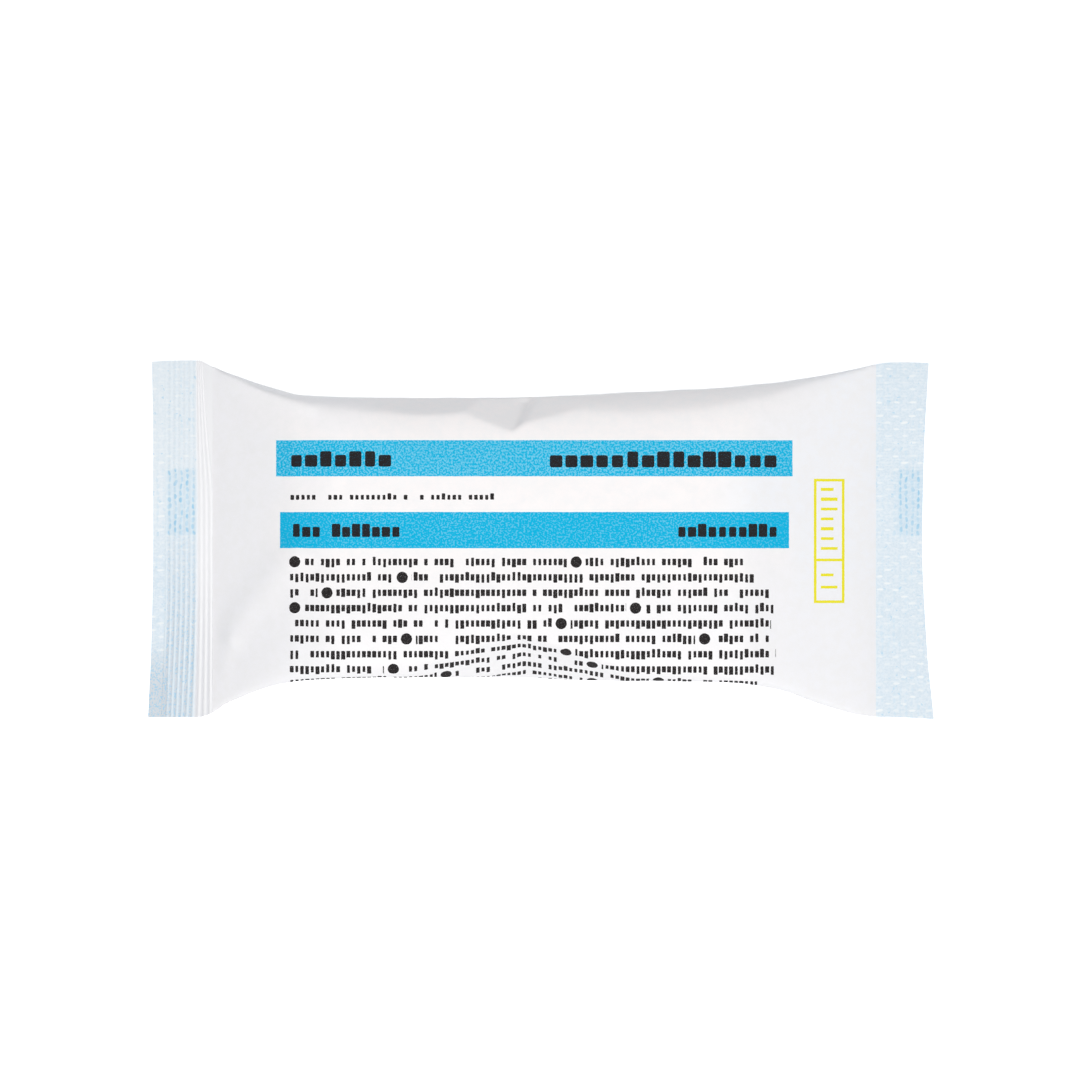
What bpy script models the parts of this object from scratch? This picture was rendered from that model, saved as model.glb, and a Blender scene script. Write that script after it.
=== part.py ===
"""Sealed bandage packet, lying on its back.

A tube of satin white paper, joined by a seam down its back and pressed shut by a
crimped seal at each end, holds a flattened roll of bandage on a folded wound pad.

+X runs along the packet, +Y across it and +Z out of its printed front. The origin lies
on the resting plane, under the middle of the packet.
"""
import bmesh
import bpy
import numpy as np

MM = 0.001

# The packet's own sizes
PACKET_LENGTH = 168.0 * MM
TUBE_WIDTH = 76.2 * MM
PAPER_WALL = 1.0 * MM
PLY_GAP = 0.3 * MM
CLEARANCE = 0.3 * MM
SOFT_CLEARANCE = 0.5 * MM
FLOOR_PRESS = 0.6 * MM

# What it holds
BANDAGE_WIDTH = 57.0 * MM
BANDAGE_LENGTH = 94.0 * MM
BANDAGE_DEPTH = 13.0 * MM
BANDAGE_OFFSET = -2.5 * MM
PAD_LENGTH = 80.0 * MM
PAD_DEPTH = 4.0 * MM

# End seals
SEAL_LEVEL = 9.0 * MM
LEFT_SEAL_WIDTH = 13.8 * MM
RIGHT_SEAL_WIDTH = 12.4 * MM
RIB_MARGIN = 2.4 * MM
RIB_PITCH = 1.1 * MM
RIB_HEIGHT = 0.25 * MM

# Back seam: its root is where the paper's two edges meet, and it folds towards +Y
SEAM_ROOT = 1.0 * MM
SEAM_WIDTH = 14.0 * MM
SEAM_LIP = 1.2 * MM
SEAM_THICKNESS = 1.2 * MM
RECESS_FLANK = 1.4 * MM
SLIT_WIDTH = 0.6 * MM

# Derived sizes
SEAL_THICKNESS = 2 * PAPER_WALL
WAIST_WIDTH = BANDAGE_WIDTH + 2 * (SOFT_CLEARANCE + PAPER_WALL)
RECESS_DEPTH = SEAM_THICKNESS + CLEARANCE
PAD_TOP = RECESS_DEPTH + PAPER_WALL + SOFT_CLEARANCE + PAD_DEPTH
BANDAGE_TOP = PAD_TOP + CLEARANCE + BANDAGE_DEPTH
PACKET_DEPTH = BANDAGE_TOP + SOFT_CLEARANCE + PAPER_WALL
LEFT_END = -PACKET_LENGTH / 2
RIGHT_END = PACKET_LENGTH / 2
LEFT_MOUTH = LEFT_END + LEFT_SEAL_WIDTH
RIGHT_MOUTH = RIGHT_END - RIGHT_SEAL_WIDTH

# Cross-sections, a row for each place along the packet. From each mouth the front and
# back open along flat slopes, which round over onto the bandage.
# along: share of PACKET_LENGTH from the left end.
# top, bottom: how far the outline has opened, from 0 at the waist to 1 at the flat tube.
# depth: share of the full rise and sink about the seals' level.
# fullness: roundness of the section, from 2 for an ellipse towards a box.
SECTION_COLUMNS = ("along", "top", "bottom", "depth", "fullness")
SECTIONS = (
    (0.000, 1.00, 0.98, 0.00, 5.0),
    (0.064, 1.03, 0.98, 0.00, 5.0),
    (0.082, 0.87, 0.87, 0.00, 5.0),
    (0.099, 0.72, 0.63, 0.14, 5.5),
    (0.117, 0.59, 0.47, 0.29, 5.5),
    (0.142, 0.41, 0.26, 0.50, 5.5),
    (0.168, 0.25, 0.10, 0.71, 5.0),
    (0.193, 0.12, 0.02, 0.87, 4.6),
    (0.244, 0.06, -0.05, 1.00, 4.2),
    (0.330, 0.04, -0.08, 1.00, 4.1),
    (0.448, 0.04, -0.08, 1.00, 4.1),
    (0.550, 0.12, 0.00, 1.00, 4.0),
    (0.626, 0.20, 0.02, 1.00, 3.8),
    (0.702, 0.27, 0.03, 1.00, 3.7),
    (0.753, 0.35, 0.08, 0.99, 3.5),
    (0.804, 0.46, 0.26, 0.84, 3.5),
    (0.855, 0.62, 0.63, 0.51, 4.2),
    (0.906, 0.83, 0.92, 0.15, 5.5),
    (0.926, 0.93, 0.97, 0.00, 5.0),
    (0.950, 0.98, 0.98, 0.00, 5.0),
    (1.000, 0.96, 1.03, 0.00, 5.0),
)

# Buckles in the packet's long edges, where the narrowed paper gives way.
# along: place of its ridge. left, right: how far its two arms reach from there. These
# are shares of PACKET_LENGTH. side: 1 for the top edge, -1 for the bottom edge.
# spread: how far it runs across the paper, and depth: how far it is pushed in, both as
# shares of PACKET_DEPTH.
BUCKLE_COLUMNS = ("along", "left", "right", "side", "spread", "depth")
BUCKLES = (
    (0.467, 0.165, 0.105, 1, 0.34, 0.15),
    (0.470, 0.130, 0.150, -1, 0.40, 0.13),
)

# Outer edges of the end seals, which the filled middle of the packet draws inwards.
# across: share of TUBE_WIDTH from the middle line. left, right: how far the edge lies
# inside the packet's full length, as a share of that seal's own width.
END_COLUMNS = ("across", "left", "right")
END_EDGES = (
    (-0.50, 0.00, 0.00),
    (-0.30, 0.05, 0.12),
    (0.00, 0.08, 0.20),
    (0.25, 0.08, 0.17),
    (0.50, 0.06, 0.09),
)

# How finely the surfaces are cut: counts, and the least distance between two cuts
STATION_STEPS = 2
FRONT_STEPS = 9
SIDE_STEPS = 6
SEAL_ROWS = 8
PLAIN_SEAL_COLUMNS = 3
END_ROUND_STEPS = 5
LEAST_STATION_GAP = 0.7 * MM

# Share of its height that a soft block keeps at its blunt ends
BLUNT_SHARE = 0.12

# Edges that turn more than this many degrees are shaded sharp
CREASE_ANGLE = 35.0

# Material looks: colour, roughness
PAPER_COLOUR = (0.90, 0.90, 0.89)
SEAL_COLOUR = (0.74, 0.84, 0.91)
GAUZE_COLOUR = (0.88, 0.86, 0.80)
PAD_COLOUR = (0.78, 0.79, 0.80)


def smooth_column(columns, rows, name, place):
    """One column of a table at each place, on a smooth curve that doesn't overshoot.

    Each stretch between two rows is a cubic whose end slopes are the harmonic means of
    the straight slopes on both sides, or level at a peak or a dip.
    """
    table = np.array(rows, dtype=float)
    key = table[:, 0]
    value = table[:, columns.index(name)]
    step = np.diff(key)
    slope = np.diff(value) / step
    before, after = slope[:-1], slope[1:]
    rising = before * after > 0
    total = np.where(rising, before + after, 1.0)
    inner = np.where(rising, 2 * before * after / total, 0.0)
    tangent = np.concatenate(([slope[0]], inner, [slope[-1]]))
    place = np.clip(place, key[0], key[-1])
    cell = np.clip(np.searchsorted(key, place, side="right") - 1, 0, len(step) - 1)
    t = (place - key[cell]) / step[cell]
    rise = value[cell + 1] - value[cell]
    bend_in = step[cell] * tangent[cell] - rise
    bend_out = rise - step[cell] * tangent[cell + 1]
    return value[cell] + t * rise + t * (1 - t) * (bend_in * (1 - t) + bend_out * t)


def section_value(name, x):
    """A column of SECTIONS at distance x along the packet."""
    return smooth_column(SECTION_COLUMNS, SECTIONS, name, (x - LEFT_END) / PACKET_LENGTH)


def outline(x):
    """Outer outline at x: the packet's top and bottom edges as Y values."""
    spare = (TUBE_WIDTH - WAIST_WIDTH) / 2
    top = WAIST_WIDTH / 2 + spare * section_value("top", x)
    bottom = -WAIST_WIDTH / 2 - spare * section_value("bottom", x)
    return top, bottom


def rise_and_sink(x):
    """How far the paper's outer face lies above and below the seals' level at x."""
    closed = PAPER_WALL + PLY_GAP / 2
    depth = section_value("depth", x)
    full_rise = PACKET_DEPTH - SEAL_LEVEL
    full_sink = SEAL_LEVEL + FLOOR_PRESS
    return closed + (full_rise - closed) * depth, closed + (full_sink - closed) * depth


def floor_height(y):
    """Lowest height of the paper's outer face: the floor, or the recess over the back seam."""
    low = SEAM_ROOT - SEAM_LIP - CLEARANCE
    high = SEAM_ROOT + SEAM_WIDTH + CLEARANCE
    outside = np.maximum(low - y, y - high)
    return RECESS_DEPTH * np.clip(1 - outside / RECESS_FLANK, 0, 1)


def buckled(x, y, z, inset):
    """Push points in towards the section's middle where a buckle crosses them.

    A buckle is a cone laid over the rounded edge between the front face and a long side.
    Its push falls evenly from its ridge to nothing, along X and across the paper, so its
    outline on the face is a straight-sided V.
    """
    top, bottom = outline(x)
    rise, _ = rise_and_sink(x)
    corner_share = 0.5 ** (1 / section_value("fullness", x))
    share_in = 1 / np.sqrt(2)
    for row in BUCKLES:
        buckle = dict(zip(BUCKLE_COLUMNS, row))
        side = buckle["side"]
        past = (x - LEFT_END) / PACKET_LENGTH - buckle["along"]
        lengthways = np.maximum(past / buckle["right"], -past / buckle["left"])
        corner_y = (top + bottom) / 2 + side * ((top - bottom) / 2 - inset) * corner_share
        corner_z = SEAL_LEVEL + (rise - inset) * corner_share
        away = np.hypot(y - corner_y, z - corner_z)
        crosswise = away / (buckle["spread"] * PACKET_DEPTH)
        push = buckle["depth"] * PACKET_DEPTH * np.clip(1 - lengthways - crosswise, 0, 1)
        y = y - side * push * share_in
        z = z - push * share_in
    return y, z


def section_points(x, side_share, front, inset):
    """Points of the tube's section at x, drawn in from its outer face by inset.

    side_share is the place across the section, 1 at the top edge and -1 at the bottom
    edge. The height follows a superellipse of the section's fullness.
    """
    top, bottom = outline(x)
    rise, sink = rise_and_sink(x)
    fullness = section_value("fullness", x)
    half = (top - bottom) / 2 - inset
    y = (top + bottom) / 2 + half * side_share
    arch = np.clip(1 - np.abs(side_share) ** fullness, 0, 1) ** (1 / fullness)
    z = SEAL_LEVEL + np.where(front, rise - inset, inset - sink) * arch
    y, z = buckled(x, y, z, inset)
    z = np.maximum(z, floor_height(y) + inset)
    return np.stack((np.broadcast_to(x, y.shape), y, z), axis=-1)


def share_across(x, y, inset):
    """The place across the section at x, as a share of its half width, of distance y."""
    top, bottom = outline(x)
    return (y - (top + bottom) / 2) / ((top - bottom) / 2 - inset)


def edge_shares(steps):
    """Shares from 1 at the section's edge to 0 at its middle, crowded at the edge."""
    return 1 - np.linspace(0, 1, steps + 1) ** 3


def back_shares(x, anchor, side, inset):
    """Places across the back from y = anchor out to one long edge, the edge left out."""
    start = share_across(x, anchor, inset)
    out = edge_shares(SIDE_STEPS)[::-1][:-1]
    return start + (side - start) * out


def paper_loop(x, inset):
    """The whole sheet's section at x, from one edge of the slit round to the other."""
    seam_high = SEAM_ROOT + SEAM_WIDTH + CLEARANCE
    seam_low = SEAM_ROOT - SEAM_LIP - CLEARANCE
    slit_high = SEAM_ROOT + SLIT_WIDTH / 2
    slit_low = SEAM_ROOT - SLIT_WIDTH / 2
    near_high = [share_across(x, y, inset) for y in (slit_high, seam_high)]
    near_low = [share_across(x, y, inset) for y in (seam_low, slit_low)]
    to_top = back_shares(x, seam_high + RECESS_FLANK, 1, inset)
    to_bottom = back_shares(x, seam_low - RECESS_FLANK, -1, inset)
    across = edge_shares(FRONT_STEPS)
    over_front = np.concatenate((across, -across[-2::-1]))
    shares = np.concatenate((near_high, to_top, over_front, to_bottom[::-1], near_low))
    front = np.zeros(len(shares), dtype=bool)
    first = len(near_high) + len(to_top)
    front[first:first + len(over_front)] = True
    return section_points(x, shares, front, inset)


def stations(start, end):
    """Places along X between start and end: the sections' rows, split, and the buckles."""
    rows = [row[0] for row in SECTIONS]
    shares = []
    for here, there in zip(rows[:-1], rows[1:]):
        shares.extend(here + (there - here) * k / STATION_STEPS for k in range(STATION_STEPS))
    shares.extend(row[0] for row in BUCKLES)
    places = LEFT_END + np.unique(np.round(shares, 4)) * PACKET_LENGTH
    inside = places[(places > start + LEAST_STATION_GAP) & (places < end - LEAST_STATION_GAP)]
    return np.concatenate(([start], inside, [end]))


def material(name, colour, roughness):
    """A plain Principled material."""
    finish = bpy.data.materials.new(name)
    finish.use_nodes = True
    shader = finish.node_tree.nodes["Principled BSDF"]
    shader.inputs["Base Color"].default_value = (*colour, 1.0)
    shader.inputs["Roughness"].default_value = roughness
    shader.inputs["Metallic"].default_value = 0.0
    return finish


def add_solid(name, points, faces, finish):
    """A named object with one closed mesh, shaded smooth across its gentle edges."""
    mesh = bpy.data.meshes.new(name)
    mesh.from_pydata([tuple(p) for p in points], [], faces)
    builder = bmesh.new()
    builder.from_mesh(mesh)
    bmesh.ops.recalc_face_normals(builder, faces=builder.faces)
    builder.to_mesh(mesh)
    builder.free()
    mesh.shade_smooth()
    mesh.set_sharp_from_angle(angle=np.radians(CREASE_ANGLE))
    mesh.materials.append(finish)
    solid = bpy.data.objects.new(name, mesh)
    bpy.context.collection.objects.link(solid)
    return solid


def sheet_faces(rows, columns):
    """Quads of a sheet with two faces and four rims, each face rows by columns points."""
    def corner(face, i, j):
        return face * rows * columns + i * columns + j

    faces = []
    for i in range(rows - 1):
        for j in range(columns - 1):
            for face in (0, 1):
                near = [corner(face, i, j), corner(face, i + 1, j)]
                far = [corner(face, i + 1, j + 1), corner(face, i, j + 1)]
                quad = near + far
                faces.append(quad if face == 0 else quad[::-1])
    for i in range(rows - 1):
        for j in (0, columns - 1):
            faces.append([corner(0, i, j), corner(0, i + 1, j), corner(1, i + 1, j), corner(1, i, j)])
    for j in range(columns - 1):
        for i in (0, rows - 1):
            faces.append([corner(0, i, j), corner(0, i, j + 1), corner(1, i, j + 1), corner(1, i, j)])
    return faces


def add_sheet(name, one_face, other_face, finish):
    """A closed sheet between two grids of points."""
    rows, columns = one_face.shape[:2]
    points = np.concatenate((one_face.reshape(-1, 3), other_face.reshape(-1, 3)))
    return add_solid(name, points, sheet_faces(rows, columns), finish)


def add_loft(name, rings, finish):
    """A closed solid through rings of points, with a flat cap on the first and last ring."""
    count, size = rings.shape[:2]
    faces = [list(range(size)), [(count - 1) * size + j for j in range(size)]]
    for i in range(count - 1):
        for j in range(size):
            k = (j + 1) % size
            faces.append([i * size + j, (i + 1) * size + j, (i + 1) * size + k, i * size + k])
    return add_solid(name, rings.reshape(-1, 3), faces, finish)


def build_paper_tube(finish):
    """The paper round the bandage, from one end seal to the other, open along its slit."""
    places = stations(LEFT_MOUTH + CLEARANCE, RIGHT_MOUTH - CLEARANCE)
    outer = np.array([paper_loop(x, 0.0) for x in places])
    inner = np.array([paper_loop(x, PAPER_WALL) for x in places])
    return add_sheet("paper_tube", outer, inner, finish)


def rounded_ends(start, end, round_length):
    """Places from start to end, and how far a block's height has opened there, 0 to 1.

    The height opens as a quarter ellipse over round_length at each end.
    """
    turn = np.linspace(0, np.pi / 2, END_ROUND_STEPS + 1)
    near = start + round_length * (1 - np.cos(turn))
    far = end - round_length * (1 - np.cos(turn[::-1]))
    middle = stations(near[-1], far[0])[1:-1]
    opening = np.concatenate((np.sin(turn), np.ones(len(middle)), np.sin(turn[::-1])))
    return np.concatenate((near, middle, far)), opening


def content_ring(x, low, high, opening):
    """Section of what the tube holds at x, between the heights low and high.

    Its sides follow the paper's inner face at the clearance. Where the block ends below
    the seals' level it is only as wide as the tube is at that height. The height is then
    closed towards its middle by the opening.
    """
    inset = PAPER_WALL + SOFT_CLEARANCE
    _, sink = rise_and_sink(x)
    fullness = section_value("fullness", x)
    below = np.clip((SEAL_LEVEL - high) / (sink - inset), 0, 1)
    width_share = (1 - below ** fullness) ** (1 / fullness)
    across = edge_shares(FRONT_STEPS)
    over = np.concatenate((across, -across[-2::-1])) * width_share
    under = over[1:-1][::-1]
    upper = section_points(x, over, np.ones(len(over), dtype=bool), inset)
    lower = section_points(x, under, np.zeros(len(under), dtype=bool), inset)
    ring = np.concatenate((upper, lower))
    height = np.clip(ring[:, 2], low, high)
    middle = (low + high) / 2
    ring[:, 2] = middle + (height - middle) * (BLUNT_SHARE + (1 - BLUNT_SHARE) * opening)
    return ring


def build_content(name, length, low, high, finish):
    """A soft block inside the tube, its ends rounded over half its height."""
    start = BANDAGE_OFFSET - length / 2
    end = BANDAGE_OFFSET + length / 2
    places, opening = rounded_ends(start, end, (high - low) / 2)
    rings = np.array([content_ring(x, low, high, share) for x, share in zip(places, opening)])
    return add_loft(name, rings, finish)


def end_inset(side, y, seal_width):
    """How far an end seal's outer edge lies inside the packet's full length at y."""
    return seal_width * smooth_column(END_COLUMNS, END_EDGES, side, y / TUBE_WIDTH)


def rib_columns():
    """Shares across the ribbed seal from its outer edge to its mouth, and the rib height."""
    count = int((LEFT_SEAL_WIDTH - RIB_MARGIN) / RIB_PITCH)
    wave = np.arange(4 * count + 1)
    places = LEFT_SEAL_WIDTH - RIB_PITCH * (count - wave / 4)
    shares = np.concatenate(([0.0], places / LEFT_SEAL_WIDTH))
    lift = np.concatenate(([0.0], RIB_HEIGHT * np.sin(wave * np.pi / 2)))
    return shares, lift


def plain_columns():
    """Shares across the plain seal from its outer edge to its mouth, all at one height."""
    shares = np.linspace(0, 1, PLAIN_SEAL_COLUMNS + 1)
    return shares, np.zeros(len(shares))


def build_end_seal(name, side, columns, finish):
    """An end seal: the tube's front and back pressed into one flat strip, with its ribs."""
    shares, lift = columns
    width = LEFT_SEAL_WIDTH if side == "left" else RIGHT_SEAL_WIDTH
    outward = -1 if side == "left" else 1
    rows = []
    for row_share in np.linspace(0, 1, SEAL_ROWS + 1):
        middle_y = (row_share - 0.5) * TUBE_WIDTH
        edge = end_inset(side, middle_y, width)
        x = outward * (PACKET_LENGTH / 2 - edge - shares * (width - edge))
        top, bottom = outline(x)
        y = bottom + row_share * (top - bottom)
        rows.append(np.stack((x, y, SEAL_LEVEL + lift), axis=-1))
    middle = np.array(rows)
    half = np.array((0, 0, SEAL_THICKNESS / 2))
    return add_sheet(name, middle + half, middle - half, finish)


def build_back_seam(finish):
    """The seam's folded strip along the packet's back, from one end to the other."""
    left = LEFT_END + end_inset("left", SEAM_ROOT, LEFT_SEAL_WIDTH)
    right = RIGHT_END - end_inset("right", SEAM_ROOT, RIGHT_SEAL_WIDTH)
    slit = SLIT_WIDTH / 2
    across = SEAM_ROOT + np.array((-SEAM_LIP, -slit, slit, SEAM_WIDTH / 2, SEAM_WIDTH))
    seal_underside = SEAL_LEVEL - SEAL_THICKNESS / 2 - RIB_HEIGHT
    upper = []
    for x in stations(left, right):
        shares = np.array([share_across(x, y, 0.0) for y in across])
        row = section_points(x, shares, np.zeros(len(across), dtype=bool), 0.0)
        row[:, 2] = np.minimum(row[:, 2], seal_underside) - CLEARANCE
        upper.append(row)
    upper = np.array(upper)
    lower = upper - np.array((0, 0, SEAM_THICKNESS))
    return add_sheet("back_seam", upper, lower, finish)


def clear_scene():
    """Remove every object, so that the file holds only the packet."""
    for item in list(bpy.data.objects):
        bpy.data.objects.remove(item, do_unlink=True)


def build_packet():
    """All the packet's pieces, under one empty at the origin."""
    paper = material("satin_paper", PAPER_COLOUR, 0.45)
    crimp = material("crimped_seal", SEAL_COLOUR, 0.5)
    gauze = material("gauze", GAUZE_COLOUR, 0.9)
    dressing = material("dressing", PAD_COLOUR, 0.6)
    pieces = [
        build_paper_tube(paper),
        build_back_seam(paper),
        build_end_seal("left_end_seal", "left", rib_columns(), crimp),
        build_end_seal("right_end_seal", "right", plain_columns(), crimp),
        build_content("bandage_roll", BANDAGE_LENGTH, PAD_TOP + CLEARANCE, BANDAGE_TOP, gauze),
        build_content("wound_pad", PAD_LENGTH, PAD_TOP - PAD_DEPTH, PAD_TOP, dressing),
    ]
    packet = bpy.data.objects.new("packet", None)
    bpy.context.collection.objects.link(packet)
    for piece in pieces:
        piece.parent = packet


clear_scene()
build_packet()
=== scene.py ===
"""Sealed bandage packet: printed satin paper, crimped end seals and a folded back seam.

+X runs along the packet, +Y across it and +Z out of its printed front. Lengths are in
metres, but in millimetres in the tables and in the materials.
"""
import bpy
import numpy as np
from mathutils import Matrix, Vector


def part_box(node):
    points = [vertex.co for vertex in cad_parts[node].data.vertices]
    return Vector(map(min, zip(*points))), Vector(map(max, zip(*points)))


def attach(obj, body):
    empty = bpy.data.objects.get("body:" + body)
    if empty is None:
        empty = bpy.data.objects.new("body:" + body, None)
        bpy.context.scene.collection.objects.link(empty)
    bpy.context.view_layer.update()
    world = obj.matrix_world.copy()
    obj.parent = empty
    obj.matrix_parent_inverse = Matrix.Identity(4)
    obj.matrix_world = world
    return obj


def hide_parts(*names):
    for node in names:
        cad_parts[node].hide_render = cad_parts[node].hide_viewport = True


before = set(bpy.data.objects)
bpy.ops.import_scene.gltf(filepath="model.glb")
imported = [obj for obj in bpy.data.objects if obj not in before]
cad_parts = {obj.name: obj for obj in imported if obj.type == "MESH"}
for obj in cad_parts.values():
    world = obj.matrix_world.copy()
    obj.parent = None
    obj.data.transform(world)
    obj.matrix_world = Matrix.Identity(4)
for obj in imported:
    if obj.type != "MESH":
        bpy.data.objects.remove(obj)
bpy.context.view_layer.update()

MM = 0.001

# Places that the frame gives
LEFT_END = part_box("left_end_seal")[0].x
LEFT_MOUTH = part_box("left_end_seal")[1].x
RIGHT_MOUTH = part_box("right_end_seal")[0].x
RIGHT_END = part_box("right_end_seal")[1].x
PACKET_LENGTH = RIGHT_END - LEFT_END
PACKET_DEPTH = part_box("paper_tube")[1].z
SEAL_LEVEL = (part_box("right_end_seal")[0].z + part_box("right_end_seal")[1].z) / 2
SEAM_LOW_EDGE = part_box("back_seam")[0].y
SEAM_HIGH_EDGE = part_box("back_seam")[1].y
ROLL_ENDS = (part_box("bandage_roll")[0].x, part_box("bandage_roll")[1].x)
ROLL_HEIGHTS = (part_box("bandage_roll")[0].z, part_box("bandage_roll")[1].z)
PAD_ENDS = (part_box("wound_pad")[0].x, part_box("wound_pad")[1].x)
PAD_HEIGHTS = (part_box("wound_pad")[0].z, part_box("wound_pad")[1].z)

# The packet's own sizes, as in its solids, but with the paper close to its real thickness
TUBE_WIDTH = 76.2 * MM
WAIST_WIDTH = 60.0 * MM
FLOOR_PRESS = 0.6 * MM
RECESS_DEPTH = 1.5 * MM
RECESS_FLANK = 1.4 * MM
CLEARANCE = 0.3 * MM
SLIT_WIDTH = 0.6 * MM
SEAM_LIP = 1.2 * MM
SEAM_ROOT = SEAM_LOW_EDGE + SEAM_LIP
PAPER = 0.16 * MM
PLY_GAP = 0.02 * MM

# Cross-sections, a row for each place along the packet. From each mouth the front and
# back open along flat slopes, which round over onto the bandage.
# along: share of PACKET_LENGTH from the left end.
# top, bottom: how far the outline has opened, from 0 at the waist to 1 at the flat tube.
# depth: share of the full rise and sink about the seals' level.
# top_full, bottom_full: fullness of the section towards its top and its bottom edge, from
# 2 for an ellipse towards a box.
SECTION_COLUMNS = ("along", "top", "bottom", "depth", "top_full", "bottom_full")
SECTIONS = (
    (0.000, 1.00, 0.98, 0.00, 12.0, 16.0),
    (0.064, 1.03, 0.98, 0.00, 12.0, 16.0),
    (0.082, 0.87, 0.87, 0.00, 12.0, 16.0),
    (0.086, 0.84, 0.82, 0.03, 12.0, 16.0),
    (0.099, 0.72, 0.63, 0.14, 12.0, 16.0),
    (0.117, 0.59, 0.47, 0.29, 12.0, 16.0),
    (0.142, 0.41, 0.26, 0.50, 11.0, 16.0),
    (0.168, 0.25, 0.10, 0.71, 9.0, 16.0),
    (0.193, 0.12, 0.02, 0.87, 8.0, 14.0),
    (0.244, 0.06, -0.05, 1.00, 6.6, 12.0),
    (0.330, 0.04, -0.08, 1.00, 5.2, 10.0),
    (0.448, 0.04, -0.08, 1.00, 4.8, 9.0),
    (0.550, 0.12, 0.00, 1.00, 4.7, 9.0),
    (0.626, 0.20, 0.02, 1.00, 4.7, 9.0),
    (0.702, 0.27, 0.03, 1.00, 5.0, 14.0),
    (0.753, 0.35, 0.08, 0.95, 5.6, 18.0),
    (0.804, 0.46, 0.26, 0.71, 7.0, 18.0),
    (0.855, 0.62, 0.63, 0.42, 9.0, 18.0),
    (0.906, 0.83, 0.92, 0.13, 12.0, 16.0),
    (0.922, 0.91, 0.96, 0.03, 12.0, 16.0),
    (0.926, 0.93, 0.97, 0.00, 12.0, 16.0),
    (0.950, 0.98, 0.98, 0.00, 12.0, 16.0),
    (1.000, 0.96, 1.03, 0.00, 12.0, 16.0),
)

# How far the back's corners are filled out at most
BACK_FULLNESS = 6.5

# The steep wall that the front folds into along the top edge.
# along: share of PACKET_LENGTH. width: from the fold to the edge, in mm. fall: the wall's
# slope. soft: how far the fold is rounded, in mm of height.
WALL_COLUMNS = ("along", "width", "fall", "soft")
WALLS = (
    (0.090, 0.0, 1.9, 0.5),
    (0.115, 0.3, 2.4, 0.4),
    (0.150, 1.2, 3.0, 0.25),
    (0.178, 1.2, 2.6, 0.4),
    (0.206, 1.1, 2.0, 1.2),
    (0.270, 2.2, 1.8, 1.4),
    (0.305, 3.0, 1.9, 0.6),
    (0.345, 3.6, 2.0, 0.4),
    (0.384, 3.4, 2.0, 0.4),
    (0.429, 1.9, 1.9, 0.6),
    (0.463, 0.8, 1.8, 0.8),
    (0.504, 0.9, 1.8, 1.0),
    (0.575, 2.6, 1.6, 1.8),
    (0.639, 3.2, 1.5, 2.2),
    (0.689, 3.0, 1.5, 2.2),
    (0.791, 1.8, 1.6, 1.6),
    (0.855, 0.4, 1.7, 0.8),
    (0.920, 0.0, 1.7, 0.5),
)

# Outer edges of the end seals, which the filled middle of the packet draws inwards.
# across: share of TUBE_WIDTH from the middle line. left, right: how far the edge lies
# inside the packet's full length, as a share of that seal's own width.
END_COLUMNS = ("across", "left", "right")
END_EDGES = (
    (-0.50, 0.00, 0.00),
    (-0.30, 0.05, 0.12),
    (0.00, 0.08, 0.20),
    (0.25, 0.08, 0.17),
    (0.50, 0.06, 0.09),
)

# Buckles pressed into the long edges: two flat facets that meet in a valley.
# along, across: the buckle's inner point, in mm. side: 1 for the top edge, -1 for the
# bottom edge. left_turn, right_turn: how far each facet's crease leans outwards from the
# packet's length, in degrees. left_fall, right_fall: each facet's slope. soft: how far the
# creases are rounded, in mm. floor: the height at which the facets level off, in mm.
BUCKLE_COLUMNS = ("along", "across", "side", "left_turn", "left_fall", "right_turn",
                  "right_fall", "soft", "floor")
BUCKLES = (
    (-6.1, 23.0, 1, 17, 1.20, 33, 2.30, 0.20, 12.5),
    (-3.6, 24.9, 1, 60, 1.35, 11, 1.35, 0.30, 12.0),
    (-5.1, -19.9, -1, 18, 1.35, 18, 1.60, 0.25, 9.0),
    (-14.0, -23.2, -1, 30, 1.50, 30, 1.30, 0.30, 10.0),
    (-21.5, -27.0, -1, 12, 1.60, 30, 1.40, 0.35, 10.0),
)

# Soft ridges (height above 0) and valleys of the front, each along a straight line, in mm
CREASE_COLUMNS = ("start_x", "start_y", "end_x", "end_y", "height", "width")
CREASES = (
    (-51.0, -1.0, -61.0, -12.0, 0.72, 3.8),
    (-61.0, -12.0, -67.5, -22.0, 0.78, 3.5),
    (-66.5, -20.0, -70.2, -31.0, 0.46, 2.2),
    (-62.0, -24.0, -52.0, -26.0, 0.08, 2.6),
    (-70.0, 36.1, -60.0, 32.0, 0.60, 1.5),
    (-60.0, 32.0, -48.0, 28.2, 0.55, 1.5),
    (-69.5, 30.0, -62.0, 19.0, -0.14, 3.2),
    (-5.8, 22.6, -5.6, 13.4, -0.05, 0.5),
    (-5.6, 13.4, -6.4, -4.0, -0.02, 0.6),
    (62.0, 36.5, 70.0, 31.0, 0.07, 0.9),
    (58.0, 35.0, 69.0, 28.0, 0.05, 1.1),
    (45.0, -24.0, 70.0, -31.0, 0.10, 3.2),
    (48.0, 27.0, 69.0, 16.0, 0.08, 3.6),
)

# Share of its length over which a crease fades at each end
CREASE_FADE = 0.2

# The wall's plane is left out where it is narrower than this, in mm
LEAST_WALL = 0.02

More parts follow.
